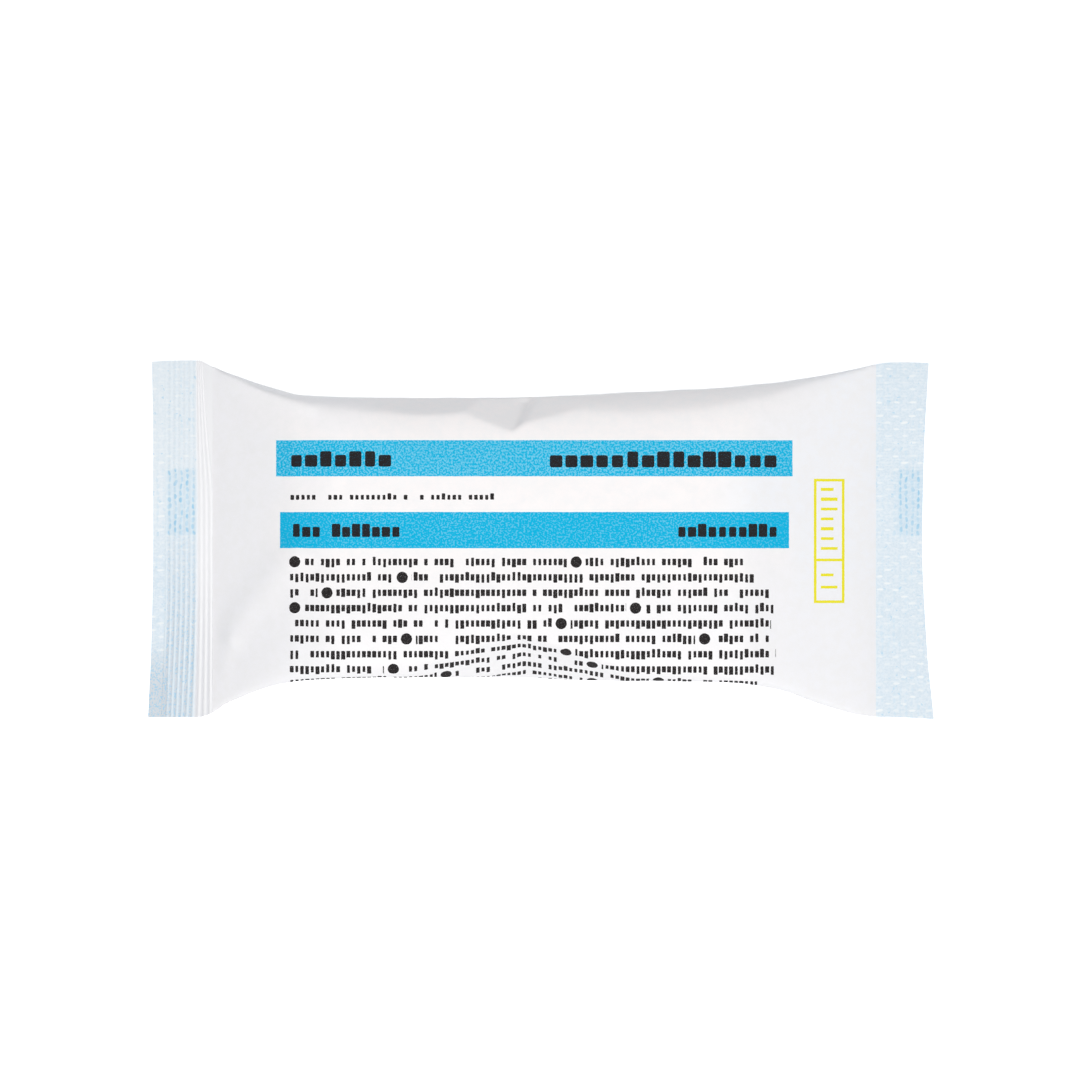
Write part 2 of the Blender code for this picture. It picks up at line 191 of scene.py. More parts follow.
# Slow unrest of the paper: height, then longest wave, number of waves and seed
FRONT_UNREST = 0.14 * MM
FRONT_WAVES = (30 * MM, 12, 3)
FRONT_RIPPLE = 0.04 * MM
RIPPLE_WAVES = (8 * MM, 14, 8)
SIDE_UNREST = 0.06 * MM
SIDE_WAVES = (15 * MM, 10, 5)
SEAL_UNREST = 0.02 * MM
SEAL_WAVES = (5 * MM, 10, 21)
SEAM_EDGE_UNREST = 0.12 * MM
SEAM_EDGE_WAVES = (40 * MM, 6, 31)
SEAM_SAG = 0.25 * MM
SEAM_SAG_WAVES = (30 * MM, 8, 32)
# The back lies on the table, so that less of the unrest shows there
BACK_SHARE = 0.4

# The end seals' curl: height, length that turns the wave by a radian, and its start.
# It reaches from beyond a mouth to CURL_REACH inside it.
LEFT_CURL = (0.55 * MM, 13 * MM, 0.6)
RIGHT_CURL = (0.65 * MM, 15 * MM, -1.1)
CURL_REACH = 18 * MM
CURL_FADE = 8 * MM
CORNER_SLOPE = 0.21
CORNER_REACH = 26 * MM

# Ribs of the left seal. They reach RIB_REACH out from the mouth, and lean outwards by
# RIB_LEAN towards the bottom. The innermost FAN_WIDTH draws together towards the top.
RIB_PITCH = 1.06 * MM
RIB_HEIGHT = 0.14 * MM
RIB_START = 0.35 * MM
RIB_REACH = 10.3 * MM
RIB_LEAN = 0.95 * MM
LEAN_FROM = 10 * MM
LEAN_LENGTH = 28 * MM
FAN_WIDTH = 3.6 * MM
FAN_FROM = 8 * MM
FAN_LENGTH = 30 * MM
FAN_PULL = 1.5
# How hard they are pressed at the top, and at least near the mouth
TOP_PRESS = 0.22
MOUTH_PRESS = 0.55
# Inner corner of the patch of painted shade, with blue specks, at the left seal's lower end
PAINTED_SHADE_X = -79.0 * MM
PAINTED_SHADE_Y = -20 * MM

# The back seam: how far its layers lift the seals, its root's width and how much thicker
# it is there, the gaps above it, its rounded edge, and where it meets the end seals
SEAM_STEP = 0.05 * MM
SEAM_ROOT_WIDTH = 2.2 * MM
SEAM_ROOT_EXTRA = 1.1
SEAM_FREE_GAP = 0.30 * MM
SEAM_ROOT_PRESS = 0.28 * MM
SEAM_LEAST_GAP = 0.02 * MM
SEAM_EDGE = 0.5 * MM
SEAM_AT_SEAL = 66 * MM
SEAM_AT_SEAL_FADE = 4 * MM

# The bandage and its pad: distance from the paper's outer face, height of the ridges
# round their sides as a share of the half width, share of the full height that is left at
# their poles, and thickness of a layer of cloth
CONTENTS_INSET = 1.5 * MM
LAYER_RIDGE = 0.004
ROUNDED_END = 0.12
ROLL_LAYER = 0.9 * MM
PAD_LAYER = 1.3 * MM

# How finely the surfaces are cut
TUBE_ROWS = 250
FRONT_HALF_COLUMNS = 62
BACK_HALF_COLUMNS = 33
DENSE_SHARE = 0.52
LOOP_STEPS = 90
RECESS_STEPS = 9
FLANK_STEPS = 5
LIP_STEPS = 4
SEAL_ROWS = 121
LEFT_SEAL_COLUMNS = 131
RIGHT_SEAL_COLUMNS = 41
SEAM_ROWS = 220
SEAM_COLUMNS = 31
BLOCK_ROWS = 62
BLOCK_END_ROWS = 9
BLOCK_HALF_COLUMNS = 24
# Edges that turn by more than this many degrees stay sharp
SHARP_ANGLE = 50.0

# Colours, as 8-bit display values
PAPER_WHITE = (249, 248, 248)
PAPER_GREY = (240, 240, 240)
# Painted light on the front: a warm tint where the flat middle faces the warm overhead light, cool
# tints where the end slopes and the lower half take the cool room light
PAPER_PAINTED_WARM_LIGHT = (251, 247, 247)
PAPER_PAINTED_COOL_LIGHT_LEFT = (248, 247, 250)
PAPER_PAINTED_COOL_LIGHT_RIGHT = (246, 247, 251)
PAPER_SHADE = (245, 244, 245)
CYAN_DEEP = (0, 181, 226)
CYAN_PALE = (112, 203, 235)
INK = (35, 31, 32)
FRAME_YELLOW = (241, 232, 40)
SEAL_BLUE = (215, 228, 238)
SEAL_BLUE_PALE = (225, 235, 243)
SEAL_UPPER = (240, 244, 247)
SEAL_ROW = (233, 240, 244)
SEAL_LINE = (196, 222, 239)
SEAL_DASH = (239, 244, 247)
# Painted highlight on the ribs' crests
SEAL_PAINTED_CREST_HIGHLIGHT = (230, 241, 248)
SEAL_DEEP_BLUE = (160, 206, 232)
# Painted shade in the ribs' valleys and in the patch at the left seal's lower corner
SEAL_PAINTED_SHADE_GREY = (204, 209, 216)
SEAL_BARE = (246, 246, 248)
# Painted shade in the ribs' valleys where the paper is bare
SEAL_BARE_SHADE = (212, 213, 218)
GAUZE_GAP = (196, 190, 176)
GAUZE_THREAD = (240, 236, 224)
DRESSING_SHADE = (188, 190, 193)
DRESSING_LIGHT = (226, 227, 229)

# Other values of the finishes: roughness, what print adds to it, and lengths in mm
PAPER_ROUGHNESS = 0.42
INK_DULLNESS = 0.43
EDGE_WOBBLE = 0.16
SEAL_ROW_PITCH = 0.71
# Turn of the gauze's thread waves, in radians for each mm
THREAD_TURN = 5.2


def smooth_column(columns, rows, name, place):
    """One column of a table at each place, on a smooth curve that doesn't overshoot.

    Each stretch between two rows is a cubic whose end slopes are the harmonic means of
    the straight slopes on both sides, or level at a peak or a dip.
    """
    table = np.array(rows, dtype=float)
    key = table[:, 0]
    value = table[:, columns.index(name)]
    step = np.diff(key)
    slope = np.diff(value) / step
    before, after = slope[:-1], slope[1:]
    rising = before * after > 0
    total = np.where(rising, before + after, 1.0)
    inner = np.where(rising, 2 * before * after / total, 0.0)
    tangent = np.concatenate(([slope[0]], inner, [slope[-1]]))
    place = np.clip(place, key[0], key[-1])
    cell = np.clip(np.searchsorted(key, place, side="right") - 1, 0, len(step) - 1)
    t = (place - key[cell]) / step[cell]
    rise = value[cell + 1] - value[cell]
    bend_in = step[cell] * tangent[cell] - rise
    bend_out = rise - step[cell] * tangent[cell + 1]
    return value[cell] + t * rise + t * (1 - t) * (bend_in * (1 - t) + bend_out * t)


def section_value(name, x):
    """A column of SECTIONS at distance x along the packet."""
    return smooth_column(SECTION_COLUMNS, SECTIONS, name, (x - LEFT_END) / PACKET_LENGTH)


def outline(x):
    """Outer outline at x: the packet's top and bottom edges as Y values."""
    spare = (TUBE_WIDTH - WAIST_WIDTH) / 2
    top = WAIST_WIDTH / 2 + spare * section_value("top", x)
    bottom = -WAIST_WIDTH / 2 - spare * section_value("bottom", x)
    return top, bottom


def rise_and_sink(x):
    """How far the paper's outer face lies above and below the seals' level at x."""
    closed = PAPER + PLY_GAP / 2
    depth = section_value("depth", x)
    full_rise = PACKET_DEPTH - SEAL_LEVEL
    full_sink = SEAL_LEVEL + FLOOR_PRESS
    return closed + (full_rise - closed) * depth, closed + (full_sink - closed) * depth


def floor_height(y):
    """Lowest height of the paper's outer face: the floor, or the recess over the back seam."""
    low = SEAM_LOW_EDGE - CLEARANCE
    high = SEAM_HIGH_EDGE + CLEARANCE
    outside = np.maximum(low - y, y - high)
    return RECESS_DEPTH * np.clip(1 - outside / RECESS_FLANK, 0, 1)


def smooth_step(value):
    """0 below 0, 1 above 1, and a smooth rise between."""
    t = np.clip(value, 0, 1)
    return t * t * (3 - 2 * t)


def smooth_least(a, b, soft):
    """The lesser of a and b, rounded over a stretch of width soft."""
    share = np.clip(0.5 + 0.5 * (b - a) / soft, 0, 1)
    return b + (a - b) * share - soft * share * (1 - share)


def waves(x, y, longest, count, seed):
    """A slow, even unrest between about -1 and 1: sine waves of many headings, summed.

    Their lengths are drawn between 0.35 and 1 times the longest, and a longer wave is
    higher in proportion.
    """
    draw = np.random.default_rng(seed)
    total = np.zeros(np.broadcast(x, y).shape)
    for k in range(count):
        length = longest * draw.uniform(0.35, 1.0)
        heading = draw.uniform(0, np.pi)
        turn = draw.uniform(0, 2 * np.pi)
        way = x * np.cos(heading) + y * np.sin(heading)
        total = total + length / longest * np.sin(2 * np.pi * way / length + turn)
    return total / np.sqrt(count)


def seal_lift(x, y):
    """The seals' own curl, a wave across the packet that dies away over the slopes.

    At the left mouth's top corner, the paper starts to rise from the last rib onwards.
    """
    left = smooth_step((LEFT_MOUTH + CURL_REACH - x) / (CURL_REACH + CURL_FADE))
    right = smooth_step((x - RIGHT_MOUTH + CURL_REACH) / (CURL_REACH + CURL_FADE))
    left_wave, right_wave = (
        height * np.sin(y / length + turn) for height, length, turn in (LEFT_CURL, RIGHT_CURL))
    beyond_ribs = np.maximum(rib_place(np.minimum(x, LEFT_MOUTH), y) - LEFT_MOUTH, 0)
    corner = CORNER_SLOPE * beyond_ribs * (1 - smooth_step((x - LEFT_MOUTH) / CORNER_REACH))
    return left * left_wave + right * right_wave + corner


def buckled(points, inset):
    """Press the buckles' facets into the points.

    Each facet is a plane through the buckle's inner point. A point that lies outside both
    facets is moved inwards, along the diagonal between the front and the side, until it
    lies on the facet it meets first, so that the two facets meet in a valley. No point is
    moved below the buckle's floor. Contents lie a distance inset behind the facets.
    """
    for row in BUCKLES:
        buckle = dict(zip(BUCKLE_COLUMNS, row))
        side = buckle["side"]
        inner = np.array((buckle["along"], buckle["across"], 0.0)) * MM
        inner[2] = front_height(inner[0], inner[1])
        outward = np.array((0.0, side, 1.0)) / np.sqrt(2)
        over = [(points[..., 2] - buckle["floor"] * MM + inset) * np.sqrt(2)]
        for arm, hand in (("left", 1), ("right", -1)):
            turn = np.radians(buckle[arm + "_turn"])
            fall = buckle[arm + "_fall"]
            normal = np.array((hand * np.sin(turn) * fall, side * np.cos(turn) * fall, 1.0))
            drawn_in = inset * np.linalg.norm(normal)
            over.append(((points - inner) @ normal + drawn_in) / (normal @ outward))
        soft = buckle["soft"] * MM
        least = smooth_least(smooth_least(over[1], over[2], soft), over[0], 4 * soft)
        push = -smooth_least(-least, 0.0, soft)
        points = points - push[..., None] * outward
    return points


def crease_heights(x, y):
    """Summed height of the soft ridges and valleys at x, y.

    Each is a bell across its line, and fades at both ends over CREASE_FADE of its length.
    """
    total = np.zeros(np.broadcast(x, y).shape)
    for row in CREASES:
        crease = dict(zip(CREASE_COLUMNS, row))
        start = np.array((crease["start_x"], crease["start_y"])) * MM
        run = np.array((crease["end_x"], crease["end_y"])) * MM - start
        length = np.hypot(*run)
        along = ((x - start[0]) * run[0] + (y - start[1]) * run[1]) / length ** 2
        across = ((x - start[0]) * run[1] - (y - start[1]) * run[0]) / length
        fade = smooth_step(along / CREASE_FADE + 0.5) * smooth_step((1 - along) / CREASE_FADE + 0.5)
        bell = np.exp(-(across / (crease["width"] * MM)) ** 2)
        total = total + crease["height"] * MM * fade * bell
    return total


def arch(share, x, fullest=np.inf):
    """Height of the section over its level middle, from 1 at share 0 to 0 at its edges.

    fullest is the most that the section's corners are filled out.
    """
    fullness = np.where(share > 0, section_value("top_full", x), section_value("bottom_full", x))
    fullness = np.minimum(fullness, fullest)
    return np.clip(1 - np.abs(share) ** fullness, 0, 1) ** (1 / fullness)


def front_rise(share, x, inset):
    """Height of the front over the seals' level: the arch, cut by the top edge's wall.

    Inside the fold the wall's plane lies above the arch. From the fold outwards it falls
    away below the arch, and the section follows it.
    """
    top, bottom = outline(x)
    rise, _ = rise_and_sink(x)
    half = (top - bottom) / 2
    place = (x - LEFT_END) / PACKET_LENGTH
    width, fall, soft = (
        smooth_column(WALL_COLUMNS, WALLS, name, place) for name in WALL_COLUMNS[1:])
    round_height = (rise - inset) * arch(share, x)
    fold = 1 - width * MM / half
    wall = (rise - inset) * arch(fold, x) - fall * half * (share - fold)
    wall_height = smooth_least(round_height, wall, soft * MM)
    return np.where((share > 0) & (width > LEAST_WALL), np.maximum(wall_height, 0), round_height)


def front_height(x, y):
    """Height of the unbuckled front at x, y."""
    return SEAL_LEVEL + front_rise(share_across(x, y), x, 0.0)


def share_across(x, y):
    """The place across the section at x, as a share of its half width, of distance y."""
    top, bottom = outline(x)
    return (y - (top + bottom) / 2) / ((top - bottom) / 2)


def tube_points(x, share, front, inset):
    """Points of the tube at x, drawn in from its outer face by inset.

    share is the place across the section, 1 at the top edge and -1 at the bottom edge,
    and front is true on the printed side. The height follows a superellipse, then the
    buckles, the creases and the paper's slow unrest are laid on it, the sides stir a
    little, and nothing lies below the table or the recess over the back seam.
    """
    top, bottom = outline(x)
    _, sink = rise_and_sink(x)
    y = (top + bottom) / 2 + ((top - bottom) / 2 - inset) * share
    back = (inset - sink) * arch(share, x, BACK_FULLNESS)
    z = SEAL_LEVEL + np.where(front, front_rise(share, x, inset), back)
    points = np.stack(np.broadcast_arrays(x, y, z), axis=-1)
    points = buckled(points, inset)
    x, y, z = points[..., 0], points[..., 1], points[..., 2]
    open_share = section_value("depth", x)
    on_front = smooth_step((z - SEAL_LEVEL) / (3 * MM))
    z = z + on_front * crease_heights(x, y)
    unrest = FRONT_UNREST * waves(x, y, *FRONT_WAVES) + FRONT_RIPPLE * waves(x, y, *RIPPLE_WAVES)
    z = z + open_share * np.where(front, 1.0, BACK_SHARE) * unrest
    side = np.abs(share) ** 12 * open_share * np.sign(share)
    y = y + SIDE_UNREST * side * waves(x, z, *SIDE_WAVES)
    z = z + seal_lift(x, y)
    z = np.maximum(z, floor_height(y) * smooth_step(open_share * 1.6) + inset)
    return np.stack((x, y, z), axis=-1)


def crowded(steps):
    """Shares from 1 at the section's edge to 0 at its middle: 1 less even steps cubed."""
    return 1 - np.linspace(0, 1, steps + 1) ** 3


def both_halves(half):
    """Shares from 1 over 0 to -1, from those of the upper half."""
    return np.concatenate((half, -half[-2::-1]))


def loop_shares(x):
    """Shares round the whole sheet at each x, from one edge of the slit to the other.

    Returns the shares, whether each lies on the front, and the number of the middle one.
    """
    seam_high = SEAM_HIGH_EDGE + CLEARANCE
    seam_low = SEAM_LOW_EDGE - CLEARANCE
    high_places = np.concatenate((
        np.linspace(SEAM_ROOT + SLIT_WIDTH / 2, seam_high, RECESS_STEPS),
        seam_high + np.linspace(0, RECESS_FLANK, FLANK_STEPS)[1:]))
    low_places = np.concatenate((
        seam_low - np.linspace(RECESS_FLANK, 0, FLANK_STEPS)[:-1],
        np.linspace(seam_low, SEAM_ROOT - SLIT_WIDTH / 2, LIP_STEPS)))
    near_high = share_across(x, high_places)
    near_low = share_across(x, low_places)
    half = crowded(LOOP_STEPS)
    out = half[::-1][1:-1]
    to_top = near_high[:, -1:] + (1 - near_high[:, -1:]) * out
    to_bottom = near_low[:, :1] + (-1 - near_low[:, :1]) * out
    over = np.broadcast_to(both_halves(half), (len(x), 2 * LOOP_STEPS + 1))
    shares = np.concatenate((near_high, to_top, over, to_bottom[:, ::-1], near_low), axis=1)
    first = near_high.shape[1] + to_top.shape[1]
    front = np.zeros(shares.shape[1], dtype=bool)
    front[first:first + over.shape[1]] = True
    return shares, front, first + LOOP_STEPS


def path_lengths(points):
    """Distance along each row of points from its first point."""
    steps = np.linalg.norm(np.diff(points, axis=1), axis=2)
    return np.concatenate((np.zeros((len(points), 1)), np.cumsum(steps, axis=1)), axis=1)


def tube_surface():
    """The sheet's outer face as a grid, and each point's place on the flat sheet in metres.

    Rows follow X. Columns lie at even shares of the way round the sheet, closer together
    on the printed front. The place across the sheet is the way round from the packet's
    middle line, so print on it follows the folds as it does on real paper.
    """
    x = np.linspace(LEFT_MOUTH, RIGHT_MOUTH, TUBE_ROWS)[:, None]
    shares, front, middle = loop_shares(x)
    loop = tube_points(x, shares, front, 0.0)
    lengths = path_lengths(loop)
    near = np.linspace(0, DENSE_SHARE, FRONT_HALF_COLUMNS + 1)
    far = np.linspace(DENSE_SHARE, 1, BACK_HALF_COLUMNS + 1)[1:]
    half = np.concatenate((near, far))
    grid, ways = [], []
    for points, length in zip(loop, lengths):
        from_middle = length - length[middle]
        goal = np.concatenate((half[::-1] * from_middle[0], half[1:] * from_middle[-1]))
        parts = [np.interp(goal, from_middle, points[:, axis]) for axis in range(3)]
        grid.append(np.stack(parts, axis=-1))
        ways.append(-goal)
    top, bottom = outline(x)
    across = np.array(ways) + (top + bottom) / 2
    place = np.stack(np.broadcast_arrays(x, across), axis=-1)
    return np.array(grid), place


def grid_normals(points):
    """Unit normals of a grid of points, from the slopes along its rows and columns."""
    normal = np.cross(np.gradient(points, axis=0), np.gradient(points, axis=1))
    return normal / np.linalg.norm(normal, axis=-1, keepdims=True)


def grid_quads(index):
    """Quads between neighbouring entries of a grid of vertex numbers."""
    corners = (index[:-1, :-1], index[1:, :-1], index[1:, 1:], index[:-1, 1:])
    return np.stack(corners, axis=-1).reshape(-1, 4)


def sheet_quads(rows, columns):
    """Quads of a closed sheet: its outer grid, its inner grid and its four rims."""
    outer = np.arange(rows * columns).reshape(rows, columns)
    inner = outer + rows * columns
    rims = (
        (outer[1:, 0], outer[:-1, 0], inner[:-1, 0], inner[1:, 0]),
        (outer[:-1, -1], outer[1:, -1], inner[1:, -1], inner[:-1, -1]),
        (outer[0, :-1], outer[0, 1:], inner[0, 1:], inner[0, :-1]),
        (outer[-1, 1:], outer[-1, :-1], inner[-1, :-1], inner[-1, 1:]),
    )
    parts = [grid_quads(outer), grid_quads(inner)[:, ::-1]]
    parts += [np.stack(rim, axis=-1) for rim in rims]
    return np.concatenate(parts)


def signed_volume(points, quads):
    """Volume inside a closed mesh of quads, below 0 where its faces point inwards."""
    a, b, c, d = (points[quads[:, k]] for k in range(4))
    halves = np.einsum("ij,ij->i", a, np.cross(b, c)) + np.einsum("ij,ij->i", a, np.cross(c, d))
    return halves.sum() / 6


def add_mesh(name, points, quads, finish, place=None, extra=None, sharp=SHARP_ANGLE):
    """A closed, smooth mesh with outward faces, its UV map and its attributes.

    A quad that names a vertex twice is a triangle. Edges over the angle sharp stay sharp.
    """
    if signed_volume(points, quads) < 0:
        quads = quads[:, ::-1]
    faces = [tuple(dict.fromkeys(quad)) for quad in quads.tolist()]
    mesh = bpy.data.meshes.new(name)
    mesh.from_pydata(points.tolist(), [], faces)
    if place is not None:
        uv_map = mesh.uv_layers.new(name="flat_sheet")
        corner = np.empty(len(mesh.loops), dtype=np.int32)
        mesh.loops.foreach_get("vertex_index", corner)
        uv_map.data.foreach_set("uv", place[corner].astype(np.float32).ravel())
    for key, values in (extra or {}).items():
        attribute = mesh.attributes.new(key, "FLOAT", "POINT")
        attribute.data.foreach_set("value", values.astype(np.float32).ravel())
    mesh.shade_smooth()
    if sharp is not None:
        mesh.set_sharp_from_angle(angle=np.radians(sharp))
    mesh.materials.append(finish)
    piece = bpy.data.objects.new(name, mesh)
    bpy.context.scene.collection.objects.link(piece)
    return piece


def add_closed_sheet(name, outer, inner, finish, place=None, extra=None):
    """A closed sheet between two grids of points, with values for each place on it."""
    rows, columns = outer.shape[:2]
    points = np.concatenate((outer.reshape(-1, 3), inner.reshape(-1, 3)))
    if place is not None:
        place = np.concatenate((place.reshape(-1, 2), place.reshape(-1, 2)))
    extra = {key: np.tile(values.ravel(), 2) for key, values in (extra or {}).items()}
    return add_mesh(name, points, sheet_quads(rows, columns), finish, place, extra)


def linear(colour):
    """An 8-bit display colour as linear light, with full opacity."""
    share = np.array(colour) / 255
    light = np.where(share <= 0.04045, share / 12.92, ((share + 0.055) / 1.055) ** 2.4)
    return (*light.tolist(), 1.0)


class Finish:
    """One material. Each method adds a node and gives back its output."""

    def __init__(self, name, roughness, sheen=0.2):
        self.material = bpy.data.materials.new(name)
        self.material.use_nodes = True
        self.nodes = self.material.node_tree.nodes
        self.links = self.material.node_tree.links
        self.shader = self.nodes["Principled BSDF"]
        self.shader.inputs["Roughness"].default_value = roughness
        self.shader.inputs["Specular IOR Level"].default_value = sheen

    def put(self, value, socket):
        """Link an output to a socket, or set the socket to a plain value."""
        if isinstance(value, bpy.types.NodeSocket):
            self.links.new(value, socket)
        else:
            socket.default_value = value

    def math(self, operation, *values, clamp=False):
        """A Math node."""
        node = self.nodes.new("ShaderNodeMath")
        node.operation = operation
        node.use_clamp = clamp
        for value, socket in zip(values, node.inputs):
            self.put(value, socket)
        return node.outputs[0]

    def joined(self, operation, first, *others):
        """Values joined one after the other by the same operation."""
        for value in others:
            first = self.math(operation, first, value)
        return first

    def plus(self, first, second, clamp=False):
        """The sum of two values."""
        return self.math("ADD", first, second, clamp=clamp)

    def minus(self, first, second):
        """The first value less the second."""
        return self.math("SUBTRACT", first, second)

    def times(self, *values):
        """The product of values, or the overlap of masks."""
        return self.joined("MULTIPLY", *values)

    def most(self, *values):
        """The largest of values, or the union of masks."""
        return self.joined("MAXIMUM", *values)

    def divided(self, value, by):
        """A value divided by another."""
        return self.math("DIVIDE", value, by)

    def above(self, value, limit):
        """1 where a value is over a limit."""
        return self.math("GREATER_THAN", value, limit)

    def below(self, value, limit):
        """1 where a value is under a limit."""
        return self.math("LESS_THAN", value, limit)

    def within(self, value, middle, half):
        """1 where a value lies no further than half from the middle."""
        return self.math("COMPARE", value, middle, half)

    def square(self, value):
        """A value times itself."""
        return self.math("POWER", value, 2.0)

    def reach(self, first, second):
        """Length of a line from its two sides: the root of their summed squares."""
        return self.math("SQRT", self.plus(self.square(first), self.square(second)))

    def cell(self, steps, pitch):
        """Number of the cell that a count of steps falls in, and distance from its middle."""
        away = self.times(self.minus(self.math("FRACT", steps), 0.5), pitch)
        return self.math("FLOOR", steps), away

    def combine(self, x, y, z=0.0):
        """A vector from three values."""
        node = self.nodes.new("ShaderNodeCombineXYZ")
        for value, socket in zip((x, y, z), node.inputs):
            self.put(value, socket)
        return node.outputs[0]

    def separate(self, vector):
        """The three values of a vector."""
        node = self.nodes.new("ShaderNodeSeparateXYZ")
        self.put(vector, node.inputs[0])
        return node.outputs

    def scaled(self, place, scale):
        """A place times a scale for each axis."""
        node = self.nodes.new("ShaderNodeMapping")
        node.inputs["Scale"].default_value = scale
        self.put(place, node.inputs["Vector"])
        return node.outputs[0]

    def body_place(self):
        """Object coordinates in mm."""
        place = self.nodes.new("ShaderNodeTexCoord").outputs["Object"]
        return self.scaled(place, (1 / MM, 1 / MM, 1 / MM))

    def sheet_place(self):
        """Place on the flat sheet in mm, from the piece's own UV map, which is in metres."""
        place = self.nodes.new("ShaderNodeUVMap")
        place.uv_map = "flat_sheet"
        return self.scaled(place.outputs[0], (1 / MM, 1 / MM, 1.0))

    def attribute(self, name):
        """A value stored on the mesh's points."""
        node = self.nodes.new("ShaderNodeAttribute")
        node.attribute_name = name
        return node.outputs["Fac"]

    def noise(self, vector, scale, detail=2.0, roughness=0.5):
        """Smooth noise between 0 and 1."""
        node = self.nodes.new("ShaderNodeTexNoise")
        self.put(vector, node.inputs["Vector"])
        node.inputs["Scale"].default_value = scale
        node.inputs["Detail"].default_value = detail
        node.inputs["Roughness"].default_value = roughness
        return node.outputs["Fac"]

    def chance(self, x, y):
        """An even random value between 0 and 1 for each pair of whole numbers."""
        node = self.nodes.new("ShaderNodeTexWhiteNoise")
        node.noise_dimensions = "2D"
        self.put(self.combine(x, y), node.inputs["Vector"])
        return node.outputs["Value"]

    def ramp(self, value, low, high, to_low=0.0, to_high=1.0):
        """A smooth step of a value from one range to another."""
        node = self.nodes.new("ShaderNodeMapRange")
        node.interpolation_type = "SMOOTHSTEP"
        for item, socket in zip((value, low, high, to_low, to_high), node.inputs):
            self.put(item, socket)
        return node.outputs[0]

    def picked(self, number, values, span):
        """One of a few values, picked by a whole number from 0 up.

        The values lie within half a span of 0, and are kept as levels between 0 and 1.
        """
        node = self.nodes.new("ShaderNodeValToRGB")
        node.color_ramp.interpolation = "CONSTANT"
        stops = node.color_ramp.elements
        while len(stops) < len(values):
            stops.new(1.0)
        for k, value in enumerate(values):
            level = value / span + 0.5
            stops[k].position = k / len(values)
            stops[k].color = (level, level, level, 1.0)
        self.put(self.divided(self.plus(number, 0.5), float(len(values))), node.inputs[0])
        return self.times(self.minus(node.outputs["Color"], 0.5), span)

    def mix(self, share, first, second):
        """Two colours mixed, or one laid over the other by a mask. Plain ones are 8-bit."""
        node = self.nodes.new("ShaderNodeMix")
        node.data_type = "RGBA"
        self.put(share, node.inputs[0])
        for colour, socket in ((first, node.inputs[6]), (second, node.inputs[7])):
            self.put(linear(colour) if isinstance(colour, tuple) else colour, socket)
        return node.outputs[2]

    def bump(self, height, distance, strength, after=None):
        """Surface relief from a height, in metres, laid on an earlier relief."""
        node = self.nodes.new("ShaderNodeBump")
        node.inputs["Strength"].default_value = strength
        node.inputs["Distance"].default_value = distance
        self.put(height, node.inputs["Height"])
        if after is not None:
            self.put(after, node.inputs["Normal"])
        return node.outputs[0]

    def finished(self, colour, relief):
        """The material, with its colour and its relief."""
        self.put(colour, self.shader.inputs["Base Color"])
        self.put(relief, self.shader.inputs["Normal"])
        return self.material


# The front's pattern, in mm on the flat sheet. u runs along the packet and v across it.
# Colour bands: middle and half size in u, then in v
BANDS = (
    (-1.4, 55.0, 17.35, 3.85),
    (-1.35, 54.2, 2.05, 3.85),
)
# Runs of plain blocks, on the bands and between them.
# start, end: in u. v: the run's middle. pitch: from block to block. width, height: of a
# block. fill: share of the places that hold a block. seed: of the gaps.
RUN_COLUMNS = ("start", "end", "v", "pitch", "width", "height", "fill", "seed")
RUNS = (
    (-53.6, -31.6, 17.2, 3.14, 2.75, 3.3, 1.0, 11),
    (1.6, 50.6, 17.1, 3.26, 2.85, 3.4, 1.0, 12),
    (-53.1, -29.8, 2.0, 2.12, 1.80, 2.8, 0.84, 17),
    (28.9, 50.5, 2.0, 2.16, 1.85, 2.8, 0.84, 26),
    (-53.5, -9.9, 9.2, 1.15, 0.80, 1.35, 0.88, 23),
)
# Blocks of a run: the narrowest and the lower ones' height as shares of the full size, the
# chance from which a block is tall, and the corners' rounding as a share of the width
NARROW_SHARE = 0.78
LOWER_SHARE = 0.76
TALL_FROM = 0.68
CORNER_SHARE = 0.16
# The small lines. LINE_ENDS, FIRST_DISCS and SECOND_DISCS have a place for each line, from
# the top one down, and a disc past DISC_END isn't drawn.
LINES_LEFT = -53.6
LINES_TOP = -3.1
LINE_PITCH = 3.27
LINE_ENDS = (43.0, 45.5, 48.5, 49.5, 49.0, 48.5, 50.0, 49.8, 46.0, 48.0, 44.0, 40.0)
FIRST_DISCS = (-52.4, -29.5, -45.5, -52.4, 4.3, -28.6, 5.3, -31.4, -20.2, 11.0, -40.0, 6.0)
SECOND_DISCS = (7.5, 60.0, 60.0, 20.1, 60.0, 34.8, 60.0, 10.9, 25.0, 60.0, 30.0, 60.0)
DISC_END = 56.0
DISC_RADIUS = 1.2
DISC_ROOM = 2.0
# Their small blocks: half sizes, what a taller or deeper one adds, the chance below which a
# block is deeper, the corners' rounding and the share of the places that hold a block
SMALL_PITCH = 1.10
SMALL_HALF_WIDTHS = (0.30, 0.45)
SMALL_HALF_HEIGHT = 0.70
SMALL_EXTRA = 0.22
SMALL_CORNER = 0.14
SMALL_FILL = 0.88
DEEP_BELOW = 0.10
# Spans that hold every end and every disc's place
END_SPAN = 100.0
DISC_SPAN = 200.0
# The narrow upright frame beside them, and the plain marks in its two parts, whose runs go
# along v
FRAME_BOX = (61.5, 3.3, -0.25, 13.25)
FRAME_LINE = 0.56
FRAME_DIVIDER = -4.3
FRAME_MARKS = (
    (-2.9, 11.9, 61.5, 2.1, 0.75, 3.6, 1.0, 3),
    (-11.4, -6.0, 61.5, 2.6, 0.75, 3.6, 1.0, 3),
)


def box_mask(finish, u, v, box):
    """1 inside a rectangle given by its middles and half sizes."""
    return finish.times(finish.within(u, box[0], box[1]), finish.within(v, box[2], box[3]))


